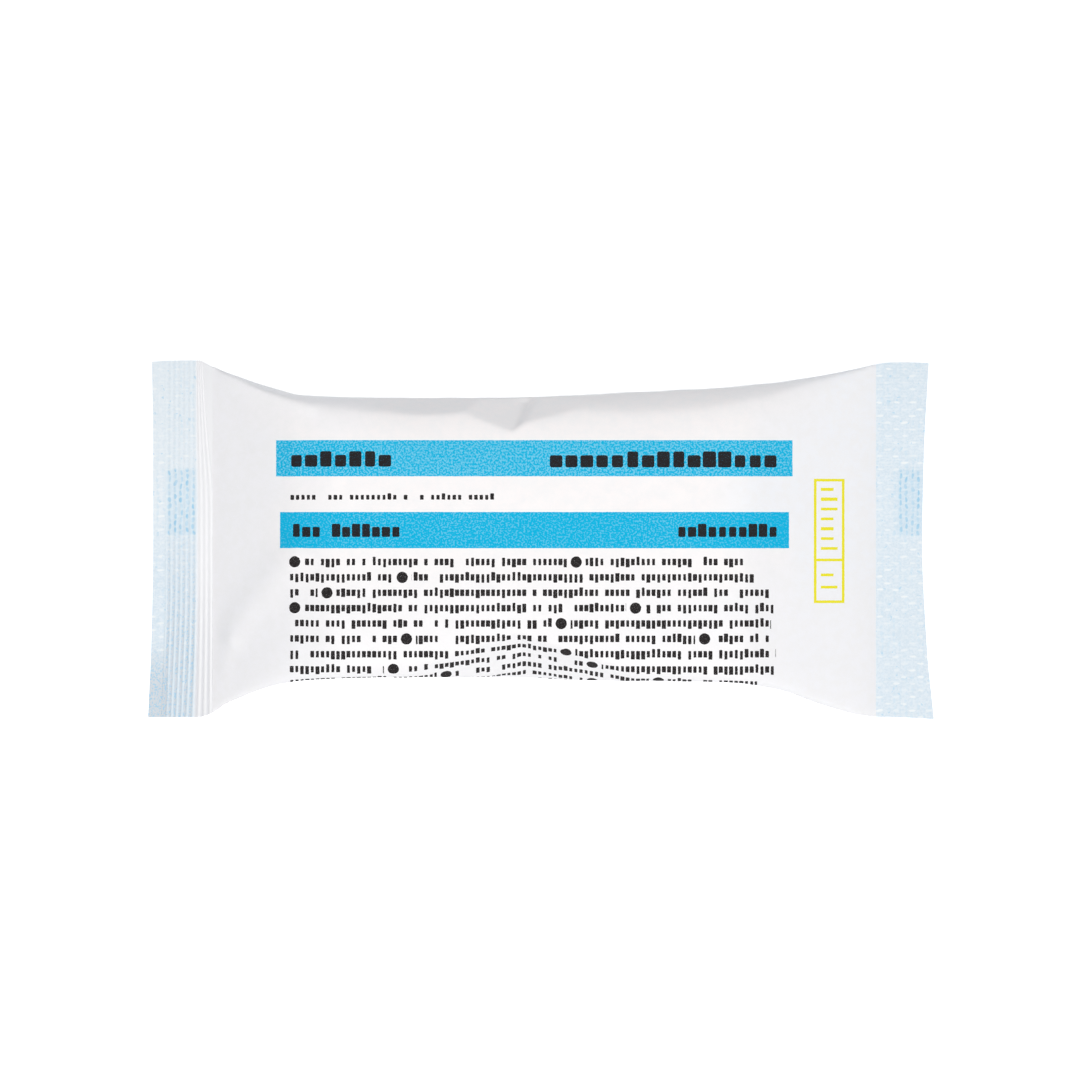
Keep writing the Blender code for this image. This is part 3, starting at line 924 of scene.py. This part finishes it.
def rounded_mask(finish, du, dv, half_width, half_height, corner):
    """1 inside a block with rounded corners, du and dv from its middle."""
    beyond = []
    for away, half in ((du, half_width), (dv, half_height)):
        past = finish.minus(finish.math("ABSOLUTE", away), finish.minus(half, corner))
        beyond.append(finish.most(past, 0.0))
    return finish.below(finish.reach(*beyond), corner)


def block_shape(finish, cell, seed, width, height):
    """Half width, half height and lift of a block: some are narrower, some stand taller.

    All the blocks of a run stand on one line, half a height below the run's middle.
    """
    narrow = finish.chance(cell, seed + 0.5)
    half_width = finish.times(finish.ramp(narrow, 0.0, 1.0, NARROW_SHARE, 1.0), width / 2)
    tall = finish.above(finish.chance(cell, seed + 0.25), TALL_FROM)
    share = finish.plus(LOWER_SHARE, finish.times(tall, 1 - LOWER_SHARE))
    half_height = finish.times(share, height / 2)
    lift = finish.times(finish.minus(share, 1.0), height / 2)
    return half_width, half_height, lift


def run_mask(finish, u, v, run):
    """A run of plain rounded blocks along u, with gaps between groups of them."""
    run = dict(zip(RUN_COLUMNS, run))
    width, height, seed = run["width"], run["height"], float(run["seed"])
    cell, du = finish.cell(finish.divided(finish.minus(u, run["start"]), run["pitch"]), run["pitch"])
    half_width, half_height, lift = block_shape(finish, cell, seed, width, height)
    dv = finish.minus(finish.minus(v, run["v"]), lift)
    block = rounded_mask(finish, du, dv, half_width, half_height, CORNER_SHARE * width)
    kept = finish.below(finish.chance(cell, seed), run["fill"])
    middle = (run["start"] + run["end"]) / 2
    return finish.times(block, kept, finish.within(u, middle, (run["end"] - run["start"]) / 2))


def small_lines_mask(finish, u, v):
    """The small lines: plain blocks in groups, and the plain discs between them."""
    steps = finish.divided(finish.minus(LINES_TOP, v), LINE_PITCH)
    line, dv = finish.cell(steps, LINE_PITCH)
    cell, du = finish.cell(finish.divided(finish.minus(u, LINES_LEFT), SMALL_PITCH), SMALL_PITCH)
    tall = finish.above(finish.chance(cell, finish.plus(line, 40.0)), TALL_FROM)
    deep = finish.below(finish.chance(cell, finish.plus(line, 80.0)), DEEP_BELOW)
    narrow = finish.chance(cell, finish.plus(line, 120.0))
    kept = finish.below(finish.chance(cell, line), SMALL_FILL)
    half_width = finish.ramp(narrow, 0.0, 1.0, *SMALL_HALF_WIDTHS)
    extra = finish.times(finish.plus(tall, deep, clamp=True), SMALL_EXTRA)
    half_height = finish.plus(SMALL_HALF_HEIGHT, extra)
    lift = finish.times(finish.minus(tall, deep), SMALL_EXTRA)
    block = rounded_mask(finish, du, finish.minus(dv, lift), half_width, half_height, SMALL_CORNER)
    end = finish.picked(line, LINE_ENDS, END_SPAN)
    block = finish.times(block, kept, finish.below(u, end), finish.above(u, LINES_LEFT))
    for discs in (FIRST_DISCS, SECOND_DISCS):
        across = finish.minus(u, finish.picked(line, discs, DISC_SPAN))
        room = finish.above(finish.math("ABSOLUTE", across), DISC_ROOM)
        disc = finish.below(finish.reach(across, dv), DISC_RADIUS)
        disc = finish.times(disc, finish.below(u, DISC_END))
        block = finish.most(finish.times(block, room), disc)
    shown = finish.times(finish.above(steps, 0.0), finish.below(steps, float(len(LINE_ENDS))))
    return finish.times(block, shown)


def frame_mask(finish, u, v):
    """The narrow upright frame, its divider and the plain marks inside it."""
    u_middle, u_half, v_middle, v_half = FRAME_BOX
    hole = (u_middle, u_half - FRAME_LINE, v_middle, v_half - FRAME_LINE)
    line = finish.minus(box_mask(finish, u, v, FRAME_BOX), box_mask(finish, u, v, hole))
    divider = box_mask(finish, u, v, (u_middle, u_half, FRAME_DIVIDER, FRAME_LINE / 2))
    return finish.most(line, divider, *[run_mask(finish, v, u, run) for run in FRAME_MARKS])


def paper_relief(finish, place):
    """Fibres, and a fine crinkle, as surface relief."""
    coarse = finish.bump(finish.noise(place, 0.22, 4.0, 0.55), 0.12 * MM, 0.5)
    return finish.bump(finish.noise(place, 3.2, 3.0, 0.6), 0.012 * MM, 0.6, coarse)


def front_white_and_painted_light(finish, body):
    """The front's white, mottled, with painted light: warm on the flat middle, cool on the slopes at
    both ends and on the lower half.
    """
    x, y, _ = finish.separate(body)
    # Painted light: warm over the flat middle, cool towards both ends' slopes and over the lower half
    drifted = finish.plus(x, finish.ramp(finish.noise(body, 0.05), 0.3, 0.7, -9.0, 9.0))
    paper = finish.mix(finish.ramp(drifted, -36.0, -60.0), PAPER_PAINTED_WARM_LIGHT, PAPER_PAINTED_COOL_LIGHT_LEFT)
    paper = finish.mix(finish.ramp(drifted, 34.0, 58.0), paper, PAPER_PAINTED_COOL_LIGHT_RIGHT)
    paper = finish.mix(finish.times(finish.ramp(y, -4.0, -14.0), 0.6), paper, PAPER_PAINTED_COOL_LIGHT_LEFT)
    mottle = finish.ramp(finish.noise(body, 0.45, 7.0, 0.78), 0.36, 0.64, 0.75, 0.0)
    return finish.mix(mottle, paper, PAPER_SHADE)


def band_cyan(finish, flat):
    """The bands' cyan: grainy, paler on the upper band and deeper towards both ends."""
    u, v, _ = finish.separate(flat)
    grain = finish.ramp(finish.noise(flat, 2.4, 1.0, 0.6), 0.38, 0.62, -0.85, 0.75)
    drift = finish.ramp(finish.noise(flat, 0.06), 0.35, 0.65, -0.08, 0.08)
    from_end = finish.ramp(finish.math("ABSOLUTE", u), 34.0, 56.0, -0.07, -0.32)
    upper = finish.ramp(v, 8.0, 12.0, 0.0, 0.55)
    level = finish.plus(finish.plus(from_end, upper), drift)
    return finish.mix(finish.plus(grain, level, clamp=True), CYAN_DEEP, CYAN_PALE)


def printed_paper():
    """Satin white paper with its cyan bands, small lines and yellow frame."""
    finish = Finish("printed_satin_paper", PAPER_ROUGHNESS)
    flat = finish.sheet_place()
    body = finish.body_place()
    u, v, _ = finish.separate(flat)
    wobble = finish.times(finish.minus(finish.noise(flat, 2.6), 0.5), EDGE_WOBBLE)
    u = finish.plus(u, wobble)
    v = finish.plus(v, wobble)
    bands = finish.most(*[box_mask(finish, u, v, band) for band in BANDS])
    runs = [run_mask(finish, u, v, run) for run in RUNS]
    ink = finish.most(small_lines_mask(finish, u, v), *runs)
    wear_and_painted_shade = finish.ramp(finish.noise(flat, 5.0), 0.25, 0.45, 0.78, 1.0)
    colour = finish.mix(bands, front_white_and_painted_light(finish, body), band_cyan(finish, flat))
    colour = finish.mix(finish.times(frame_mask(finish, u, v), wear_and_painted_shade), colour, FRAME_YELLOW)
    colour = finish.mix(finish.times(ink, wear_and_painted_shade), colour, INK)
    dull = finish.plus(PAPER_ROUGHNESS, finish.times(finish.most(bands, ink), INK_DULLNESS))
    finish.put(dull, finish.shader.inputs["Roughness"])
    return finish.finished(colour, paper_relief(finish, body))


def plain_paper():
    """The same paper where nothing is printed on it."""
    finish = Finish("plain_satin_paper", 0.45)
    body = finish.body_place()
    colour = finish.mix(finish.noise(body, 0.12, 3.0), PAPER_WHITE, PAPER_GREY)
    return finish.finished(colour, paper_relief(finish, body))


def dash_mask(finish, x, y, pitch, row_pitch, half_length, half_height, seed):
    """Rows of short dashes, each row set off by half a pitch from the last, some faint."""
    line, dv = finish.cell(finish.divided(y, row_pitch), row_pitch)
    offset = finish.times(finish.math("MODULO", finish.math("ABSOLUTE", line), 2.0), 0.5)
    cell, du = finish.cell(finish.plus(finish.divided(x, pitch), offset), pitch)
    along = finish.square(finish.divided(du, half_length))
    across = finish.square(finish.divided(dv, half_height))
    shape = finish.ramp(finish.plus(along, across), 1.35, 0.35)
    strength = finish.chance(cell, finish.plus(line, float(seed)))
    return finish.times(shape, finish.ramp(strength, 0.1, 0.8, 0.35, 1.0))


def sealed_paper(name, blue_from, blue_sign, upper_pale):
    """Paper of an end seal: a pale blue print, the press's dashes, and painted shade and a
    painted highlight on the ribs.

    blue_from is the place in mm where the blue begins, blue_sign the way it runs, and
    upper_pale how much paler the blue is in the upper half.
    """
    finish = Finish(name, 0.5)
    body = finish.body_place()
    x, y, _ = finish.separate(body)
    stir = finish.times(finish.minus(finish.noise(body, 0.5), 0.5), 1.3)
    x_stir = finish.plus(x, stir)
    y_stir = finish.plus(y, finish.times(stir, 0.4))
    valley, crest_highlight, ribs, seam, wear_and_painted_shade = (
        finish.attribute(key) for key in ("valley", "crest_highlight", "rib_place", "seam_below", "wear_and_painted_shade"))
    # The pale blue, paler in the upper half and in fine broken rows
    fine = finish.ramp(finish.noise(body, 2.0, 2.0, 0.6), 0.36, 0.64)
    base = finish.mix(fine, SEAL_BLUE, SEAL_BLUE_PALE)
    base = finish.mix(finish.ramp(y, -6.0, 10.0, 0.0, upper_pale), base, SEAL_UPPER)
    rows = finish.math("SINE", finish.times(y_stir, 2 * np.pi / SEAL_ROW_PITCH))
    rows = finish.times(finish.ramp(rows, 0.2, 0.9), finish.ramp(finish.noise(body, 0.8), 0.45, 0.62))
    base = finish.mix(finish.times(rows, 0.45), base, SEAL_ROW)
    # The press's marks: short faint blue lines across, and pale dashes along the packet
    lines = dash_mask(finish, y_stir, x_stir, 1.43, 1.27, 0.62, 0.30, 9)
    faint = finish.ramp(finish.noise(body, 0.25), 0.42, 0.62, 0.08, 0.34)
    base = finish.mix(finish.times(lines, faint), base, SEAL_LINE)
    dashes = dash_mask(finish, x_stir, y_stir, 3.53, 1.43, 0.74, 0.27, 5)
    patches = finish.ramp(finish.noise(body, 0.13, 1.0), 0.40, 0.60, 0.60, 1.0)
    base = finish.mix(finish.times(dashes, patches), base, SEAL_DASH)
    # Painted highlight: the ribs' crests are painted paler
    base = finish.mix(finish.times(crest_highlight, 0.65), base, SEAL_PAINTED_CREST_HIGHLIGHT)
    # Deeper blue over the seam's layers, in rare spots, and stippled in the ribs' valleys
    # and in the lower corner's patch of painted shade
    spread = finish.ramp(finish.noise(body, 0.6), 0.35, 0.60, 0.55, 1.0)
    over_seam = finish.times(finish.times(lines, spread, seam), 0.80)
    over_seam = finish.plus(over_seam, finish.times(seam, 0.20))
    rare = finish.above(finish.noise(body, 0.9, 1.0), 0.70)
    specks = finish.ramp(finish.noise(body, 2.4, 1.0, 0.6), 0.54, 0.60)
    stipple = finish.times(specks, finish.most(valley, wear_and_painted_shade))
    deep = finish.most(over_seam, finish.times(rare, finish.times(fine, 0.55)))
    deep = finish.most(deep, finish.times(stipple, 0.85))
    # Painted shade: the ribs' valleys and the patch at the lower corner are darkened
    painted_shade = finish.most(finish.times(valley, 0.80), finish.times(wear_and_painted_shade, 0.70))
    base = finish.mix(painted_shade, base, SEAL_PAINTED_SHADE_GREY)
    base = finish.mix(deep, base, SEAL_DEEP_BLUE)
    # Beside the blue the paper is bare, and only the ribs' valleys carry painted shade
    bare = finish.mix(finish.times(valley, 0.75), SEAL_BARE, SEAL_BARE_SHADE)
    out = finish.times(finish.minus(ribs, blue_from), blue_sign)
    colour = finish.mix(finish.ramp(out, -0.45, 0.35), bare, base)
    return finish.finished(colour, paper_relief(finish, body))


def woven_gauze():
    """Loosely woven off-white cotton: two crossing sets of threads."""
    finish = Finish("woven_gauze", 0.9)
    x, y, z = finish.separate(finish.body_place())
    along = finish.math("SINE", finish.times(y, THREAD_TURN))
    across = finish.math("SINE", finish.times(finish.plus(x, z), THREAD_TURN))
    threads = finish.most(along, across)
    colour = finish.mix(finish.ramp(threads, -0.2, 0.9), GAUZE_GAP, GAUZE_THREAD)
    return finish.finished(colour, finish.bump(threads, 0.12 * MM, 0.6))


def silvery_dressing():
    """Soft non-woven dressing with a faint silvery face."""
    finish = Finish("silvery_dressing", 0.55)
    fibres = finish.noise(finish.body_place(), 1.4, 4.0, 0.7)
    finish.shader.inputs["Metallic"].default_value = 0.25
    colour = finish.mix(fibres, DRESSING_SHADE, DRESSING_LIGHT)
    return finish.finished(colour, finish.bump(fibres, 0.10 * MM, 0.5))


def build_wrap(finish):
    """The printed sheet round the bandage, from mouth to mouth, open along its slit.

    Its inner face is the outer one moved inwards along the normals by the paper's thickness.
    """
    outer, place = tube_surface()
    normal = grid_normals(outer)
    inner = outer - PAPER * normal
    if (normal[:, FRONT_HALF_COLUMNS + BACK_HALF_COLUMNS, 2] < 0).all():
        inner = outer + PAPER * normal
    return add_closed_sheet("printed_wrap", outer, inner, finish, place)


def end_inset(side, y, seal_width):
    """How far an end seal's outer edge lies inside the packet's full length at y."""
    return seal_width * smooth_column(END_COLUMNS, END_EDGES, side, y / TUBE_WIDTH)


def rib_place(x, y):
    """Where a point lies across the ribs, as its x at the packet's middle line.

    The ribs lean outwards towards the bottom. Towards the top, the innermost ones draw
    together into one point.
    """
    low = np.clip((-y - LEAN_FROM) / LEAN_LENGTH, 0, 1.2)
    high = np.clip((y - FAN_FROM) / FAN_LENGTH, 0, 1.1)
    outer = np.clip((LEFT_MOUTH - x) / (6 * MM), 0.1, 1)
    placed = x + RIB_LEAN * low ** 1.4 * outer
    fan_start = LEFT_MOUTH - FAN_WIDTH
    return placed + np.maximum(placed - fan_start, 0) * FAN_PULL * high ** 1.6


def rib_shape(x, y):
    """Rib height between -1 and 1 and its strength at x, y on the left seal.

    Ribs are cosine waves RIB_PITCH apart. They start RIB_REACH out from the mouth, fade at
    the mouth, and are pressed harder towards the bottom and near the mouth.
    """
    placed = rib_place(x, y)
    wave = np.cos(2 * np.pi * (placed - LEFT_MOUTH + RIB_START) / RIB_PITCH)
    first = smooth_step((placed - LEFT_MOUTH + RIB_REACH) / (0.5 * MM))
    last = smooth_step((LEFT_MOUTH + 0.5 * MM - placed) / (0.6 * MM))
    press = TOP_PRESS + (1 - TOP_PRESS) * smooth_step((14 * MM - y) / (42 * MM))
    inner = smooth_step((placed - LEFT_MOUTH + 4.0 * MM) / (1.0 * MM))
    return wave, first * last * np.maximum(press, MOUTH_PRESS * inner)


def seal_grid(side, columns):
    """Places of an end seal: rows across the packet, columns from its edge to its mouth.

    Both edges follow the outline, and the outer edge follows END_EDGES.
    """
    outward = -1 if side == "left" else 1
    mouth = LEFT_MOUTH if side == "left" else RIGHT_MOUTH
    width = abs(mouth - outward * PACKET_LENGTH / 2)
    row_share = np.linspace(0, 1, SEAL_ROWS)[:, None]
    share = np.linspace(0, 1, columns)[None, :]
    edge = end_inset(side, (row_share - 0.5) * TUBE_WIDTH, width)
    x = outward * (PACKET_LENGTH / 2 - edge - share * (width - edge))
    top, bottom = outline(x)
    return x, bottom + row_share * (top - bottom)


def seam_share(y):
    """1 where the back seam's layers lie under an end seal, 0 beside them."""
    middle = (SEAM_ROOT + SEAM_HIGH_EDGE) / 2
    half = (SEAM_HIGH_EDGE - SEAM_ROOT) / 2
    return smooth_step((half - np.abs(y - middle)) / (0.6 * MM) + 0.5)


def plies(x, y, middle):
    """The outer faces of two plies pressed together about a middle height."""
    half = PAPER + PLY_GAP / 2
    return [np.stack((x, y, middle + way * half), axis=-1) for way in (1, -1)]


def build_left_seal(finish):
    """The ribbed end seal: two plies pressed together, so ribs show on both its faces."""
    x, y = seal_grid("left", LEFT_SEAL_COLUMNS)
    wave, strength = rib_shape(x, y)
    ribs = RIB_HEIGHT * wave * strength
    middle = SEAL_LEVEL + ribs + seal_lift(x, y) + SEAM_STEP * seam_share(y)
    upper, lower = plies(x, y, middle)
    # Masks for the seal's paint: painted shade in the rib valleys and in a patch at the lower outer
    # corner, a painted highlight on the crests
    extra = {
        "valley": strength ** 1.3 * np.clip(0.5 - 0.5 * wave, 0, 1) ** 1.4,
        "crest_highlight": strength * np.clip(0.5 + 0.5 * wave, 0, 1) ** 2,
        "rib_place": rib_place(x, y) / MM,
        "seam_below": seam_share(y) * smooth_step((x - LEFT_MOUTH + RIB_REACH) / (1.0 * MM)),
        "wear_and_painted_shade": smooth_step((PAINTED_SHADE_Y - y) / (12 * MM)) * smooth_step((PAINTED_SHADE_X - x) / (1.5 * MM)),
    }
    return add_closed_sheet("ribbed_end_seal", upper, lower, finish, None, extra)


def build_right_seal(finish):
    """The plain end seal, flat but for a slow curl and the seam's layers below it."""
    x, y = seal_grid("right", RIGHT_SEAL_COLUMNS)
    middle = SEAL_LEVEL + seal_lift(x, y) + SEAL_UNREST * waves(x, y, *SEAL_WAVES)
    middle = middle + SEAM_STEP * seam_share(y) * smooth_step((x - RIGHT_MOUTH) / (3 * MM))
    upper, lower = plies(x, y, middle)
    # The plain seal has no painted shade or highlight
    extra = {key: np.zeros(x.shape) for key in ("valley", "crest_highlight", "wear_and_painted_shade")}
    extra["rib_place"] = x / MM
    extra["seam_below"] = seam_share(y) * smooth_step((x - RIGHT_MOUTH - 3.5 * MM) / (2 * MM))
    return add_closed_sheet("plain_end_seal", upper, lower, finish, None, extra)


def build_back_seam(finish):
    """The folded seam: a flat strip under the packet, thick at its root, thin at its edge.

    Its upper face follows the paper above it, a small gap below it, and sags towards the
    free edge. Its lower face lies one thickness further down, rounded off at the root.
    """
    left = LEFT_END + end_inset("left", SEAM_ROOT, LEFT_MOUTH - LEFT_END)
    right = RIGHT_END - end_inset("right", SEAM_ROOT, RIGHT_END - RIGHT_MOUTH)
    x = np.linspace(left, right, SEAM_ROWS)[:, None]
    reach = np.linspace(0, 1, SEAM_COLUMNS)[None, :] ** 1.3
    y = SEAM_LOW_EDGE + (SEAM_HIGH_EDGE - SEAM_LOW_EDGE) * reach
    y = y + SEAM_EDGE_UNREST * waves(x, 0 * y, *SEAM_EDGE_WAVES) * reach
    share = share_across(x, y)
    above = tube_points(x, share, np.zeros(share.shape, dtype=bool), 0.0)[..., 2]
    at_seal = smooth_step((np.abs(x) - SEAM_AT_SEAL) / SEAM_AT_SEAL_FADE)
    underside = SEAL_LEVEL + seal_lift(x, y) - PAPER - PLY_GAP - RIB_HEIGHT
    above = np.minimum(above, underside)
    root = 1 - smooth_step((y - SEAM_LOW_EDGE) / SEAM_ROOT_WIDTH)
    thick = (2 * PAPER + PLY_GAP) * (1 + SEAM_ROOT_EXTRA * root * (1 - at_seal))
    gap = (SEAM_FREE_GAP - SEAM_ROOT_PRESS * root) * (1 - at_seal) + SEAM_LEAST_GAP
    stir = 0.5 + 0.5 * waves(x, y, *SEAM_SAG_WAVES)
    sag = SEAM_SAG * (1 - root) * (1 - at_seal) * stir
    upper = above - gap - np.clip(sag, 0, 2 * SEAM_SAG)
    inwards = np.clip((y - SEAM_LOW_EDGE) / SEAM_EDGE, 0, 1)
    edge = np.sqrt(np.clip(1 - (1 - inwards) ** 2, 0.04, 1))
    lower = np.maximum(upper - thick * edge, 0.0)
    top = np.stack(np.broadcast_arrays(x, y, upper), axis=-1)
    under = np.stack(np.broadcast_arrays(x, y, lower), axis=-1)
    return add_closed_sheet("folded_back_seam", top, under, finish)


def block_mesh(ends, heights, layer):
    """A soft block that fills the tube between two heights, its layers showing as ridges.

    Rings follow the paper's inner face. Each ring closes over the block's rounded ends, and
    small ridges run round its sides, one for each layer of cloth. A fan of faces closes
    each end at a pole.
    """
    rounding = (heights[1] - heights[0]) / 2
    turn = np.linspace(0, np.pi / 2, BLOCK_END_ROWS)
    near = ends[0] + rounding * (1 - np.cos(turn))
    far = ends[1] - rounding * (1 - np.cos(turn[::-1]))
    middle = np.linspace(near[-1], far[0], BLOCK_ROWS)[1:-1]
    x = np.concatenate((near, middle, far))[:, None]
    opening = np.concatenate((np.sin(turn), np.ones(len(middle)), np.sin(turn[::-1])))[:, None]
    _, sink = rise_and_sink(x)
    fullness = section_value("top_full", x)
    below = np.clip((SEAL_LEVEL - heights[1]) / (sink - CONTENTS_INSET), 0, 1)
    width_share = (1 - below ** fullness) ** (1 / fullness)
    over = both_halves(crowded(BLOCK_HALF_COLUMNS)) * width_share
    under = over[:, 1:-1][:, ::-1]
    upper = tube_points(x, over, np.ones(over.shape, dtype=bool), CONTENTS_INSET)
    lower = tube_points(x, under, np.zeros(under.shape, dtype=bool), CONTENTS_INSET)
    ring = np.concatenate((upper, lower), axis=1)
    level = (heights[0] + heights[1]) / 2
    z = np.clip(ring[..., 2], *heights)
    ridge = np.cos(2 * np.pi * z / layer) * np.abs(np.concatenate((over, under), axis=1)) ** 10
    ring[..., 1] *= 1 - LAYER_RIDGE + LAYER_RIDGE * ridge
    ring[..., 2] = level + (z - level) * (ROUNDED_END + (1 - ROUNDED_END) * opening)
    count, size = ring.shape[:2]
    index = np.arange(count * size).reshape(count, size)
    quads = grid_quads(np.concatenate((index, index[:, :1]), axis=1))
    poles = []
    for row, number in ((0, count * size), (count - 1, count * size + 1)):
        poles.append(ring[row].mean(axis=0))
        loop = index[row] if row == 0 else index[row][::-1]
        fan = np.stack((loop, np.roll(loop, 1), np.full(size, number)), axis=-1)
        quads = np.concatenate((quads, np.concatenate((fan[:, :1], fan), axis=1)))
    points = np.concatenate((ring.reshape(-1, 3), np.array(poles)))
    return points, quads


def add_piece(piece, node):
    """Let a piece ride on the packet's body and stand for its solid."""
    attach(piece, "root")
    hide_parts(node)


def build_packet():
    """Every piece of the packet, each standing in for its solid."""
    paper = printed_paper()
    bare = plain_paper()
    wrap = build_wrap(paper)
    add_piece(wrap, "paper_tube")
    seam = build_back_seam(bare)
    add_piece(seam, "back_seam")
    left = build_left_seal(sealed_paper("ribbed_seal_paper", -73.6, -1.0, 0.42))
    add_piece(left, "left_end_seal")
    right = build_right_seal(sealed_paper("plain_seal_paper", 71.5, 1.0, 0.0))
    add_piece(right, "right_end_seal")
    roll_mesh = block_mesh(ROLL_ENDS, ROLL_HEIGHTS, ROLL_LAYER)
    roll = add_mesh("flattened_roll", *roll_mesh, woven_gauze(), sharp=None)
    add_piece(roll, "bandage_roll")
    pad_mesh = block_mesh(PAD_ENDS, PAD_HEIGHTS, PAD_LAYER)
    pad = add_mesh("folded_pad", *pad_mesh, silvery_dressing(), sharp=None)
    add_piece(pad, "wound_pad")


# The studio: camera straight above, as in the photograph, at a long lens. SENSOR is in mm.
SENSOR = 36.0
CAMERA_DISTANCE = 2.5
FRAME_WIDTH = 230.84 * MM
VIEW_X = -0.2 * MM
VIEW_Y = -0.05 * MM
FLOOR_SIZE = 30.0
FLOOR_COLOUR = (0.93, 0.93, 0.93, 1.0)
FLOOR_GLOW = 0.55
# The room's light from above and from below the table's level
ROOM_COLOUR = (0.93, 0.965, 1.0, 1.0)
ROOM_ABOVE = 0.40
ROOM_BELOW = 0.97
LIGHT_PLACE = (0.035, -0.24, 0.95)
LIGHT_SIZE = 0.55
LIGHT_POWER = 6.7
LIGHT_COLOUR = (1.0, 0.98, 0.955)


def add_camera():
    """A camera that looks straight down, with the photograph's frame at the seals' level."""
    data = bpy.data.cameras.new("camera")
    data.sensor_width = SENSOR
    data.lens = SENSOR * CAMERA_DISTANCE / FRAME_WIDTH
    data.clip_start = 0.1
    data.clip_end = 100.0
    camera = bpy.data.objects.new("camera", data)
    camera.location = (VIEW_X, VIEW_Y, SEAL_LEVEL + CAMERA_DISTANCE)
    bpy.context.scene.collection.objects.link(camera)
    bpy.context.scene.camera = camera


def add_light():
    """A square soft light overhead that faces the packet."""
    data = bpy.data.lights.new("overhead", "AREA")
    data.shape = "SQUARE"
    data.size = LIGHT_SIZE
    data.energy = LIGHT_POWER
    data.color = LIGHT_COLOUR
    light = bpy.data.objects.new("overhead", data)
    light.location = LIGHT_PLACE
    away = np.array(LIGHT_PLACE) / np.linalg.norm(LIGHT_PLACE)
    light.rotation_mode = "QUATERNION"
    light.rotation_quaternion = Vector(away.tolist()).to_track_quat("Z", "Y")
    light.visible_camera = False
    bpy.context.scene.collection.objects.link(light)


def add_floor():
    """A plain, near-white floor that glows a little and throws no light on the packet."""
    half = FLOOR_SIZE / 2
    corners = [(-half, -half, 0.0), (half, -half, 0.0), (half, half, 0.0), (-half, half, 0.0)]
    mesh = bpy.data.meshes.new("floor")
    mesh.from_pydata(corners, [], [(0, 1, 2, 3)])
    finish = Finish("pale_table", 0.8, 0.0)
    finish.shader.inputs["Base Color"].default_value = FLOOR_COLOUR
    finish.shader.inputs["Emission Color"].default_value = (1.0, 1.0, 1.0, 1.0)
    finish.shader.inputs["Emission Strength"].default_value = FLOOR_GLOW
    mesh.materials.append(finish.material)
    floor = bpy.data.objects.new("floor", mesh)
    floor.visible_diffuse = False
    floor.visible_shadow = False
    bpy.context.scene.collection.objects.link(floor)


def add_studio():
    """Soft overhead light, a little warm, in a bright and slightly cool room.

    The room's light steps from its lower to its upper strength at the table's level.
    """
    scene = bpy.context.scene
    scene.view_settings.view_transform = "Standard"
    world = bpy.data.worlds.new("room")
    world.use_nodes = True
    nodes = world.node_tree.nodes
    links = world.node_tree.links
    heading = nodes.new("ShaderNodeTexCoord")
    height = nodes.new("ShaderNodeSeparateXYZ")
    share = nodes.new("ShaderNodeMapRange")
    share.inputs["From Min"].default_value = -0.01
    share.inputs["From Max"].default_value = 0.01
    share.inputs["To Min"].default_value = ROOM_BELOW
    share.inputs["To Max"].default_value = ROOM_ABOVE
    links.new(heading.outputs["Generated"], height.inputs[0])
    links.new(height.outputs["Z"], share.inputs["Value"])
    background = nodes["Background"]
    background.inputs["Color"].default_value = ROOM_COLOUR
    links.new(share.outputs[0], background.inputs["Strength"])
    scene.world = world
    add_light()
    add_camera()
    add_floor()


build_packet()
add_studio()
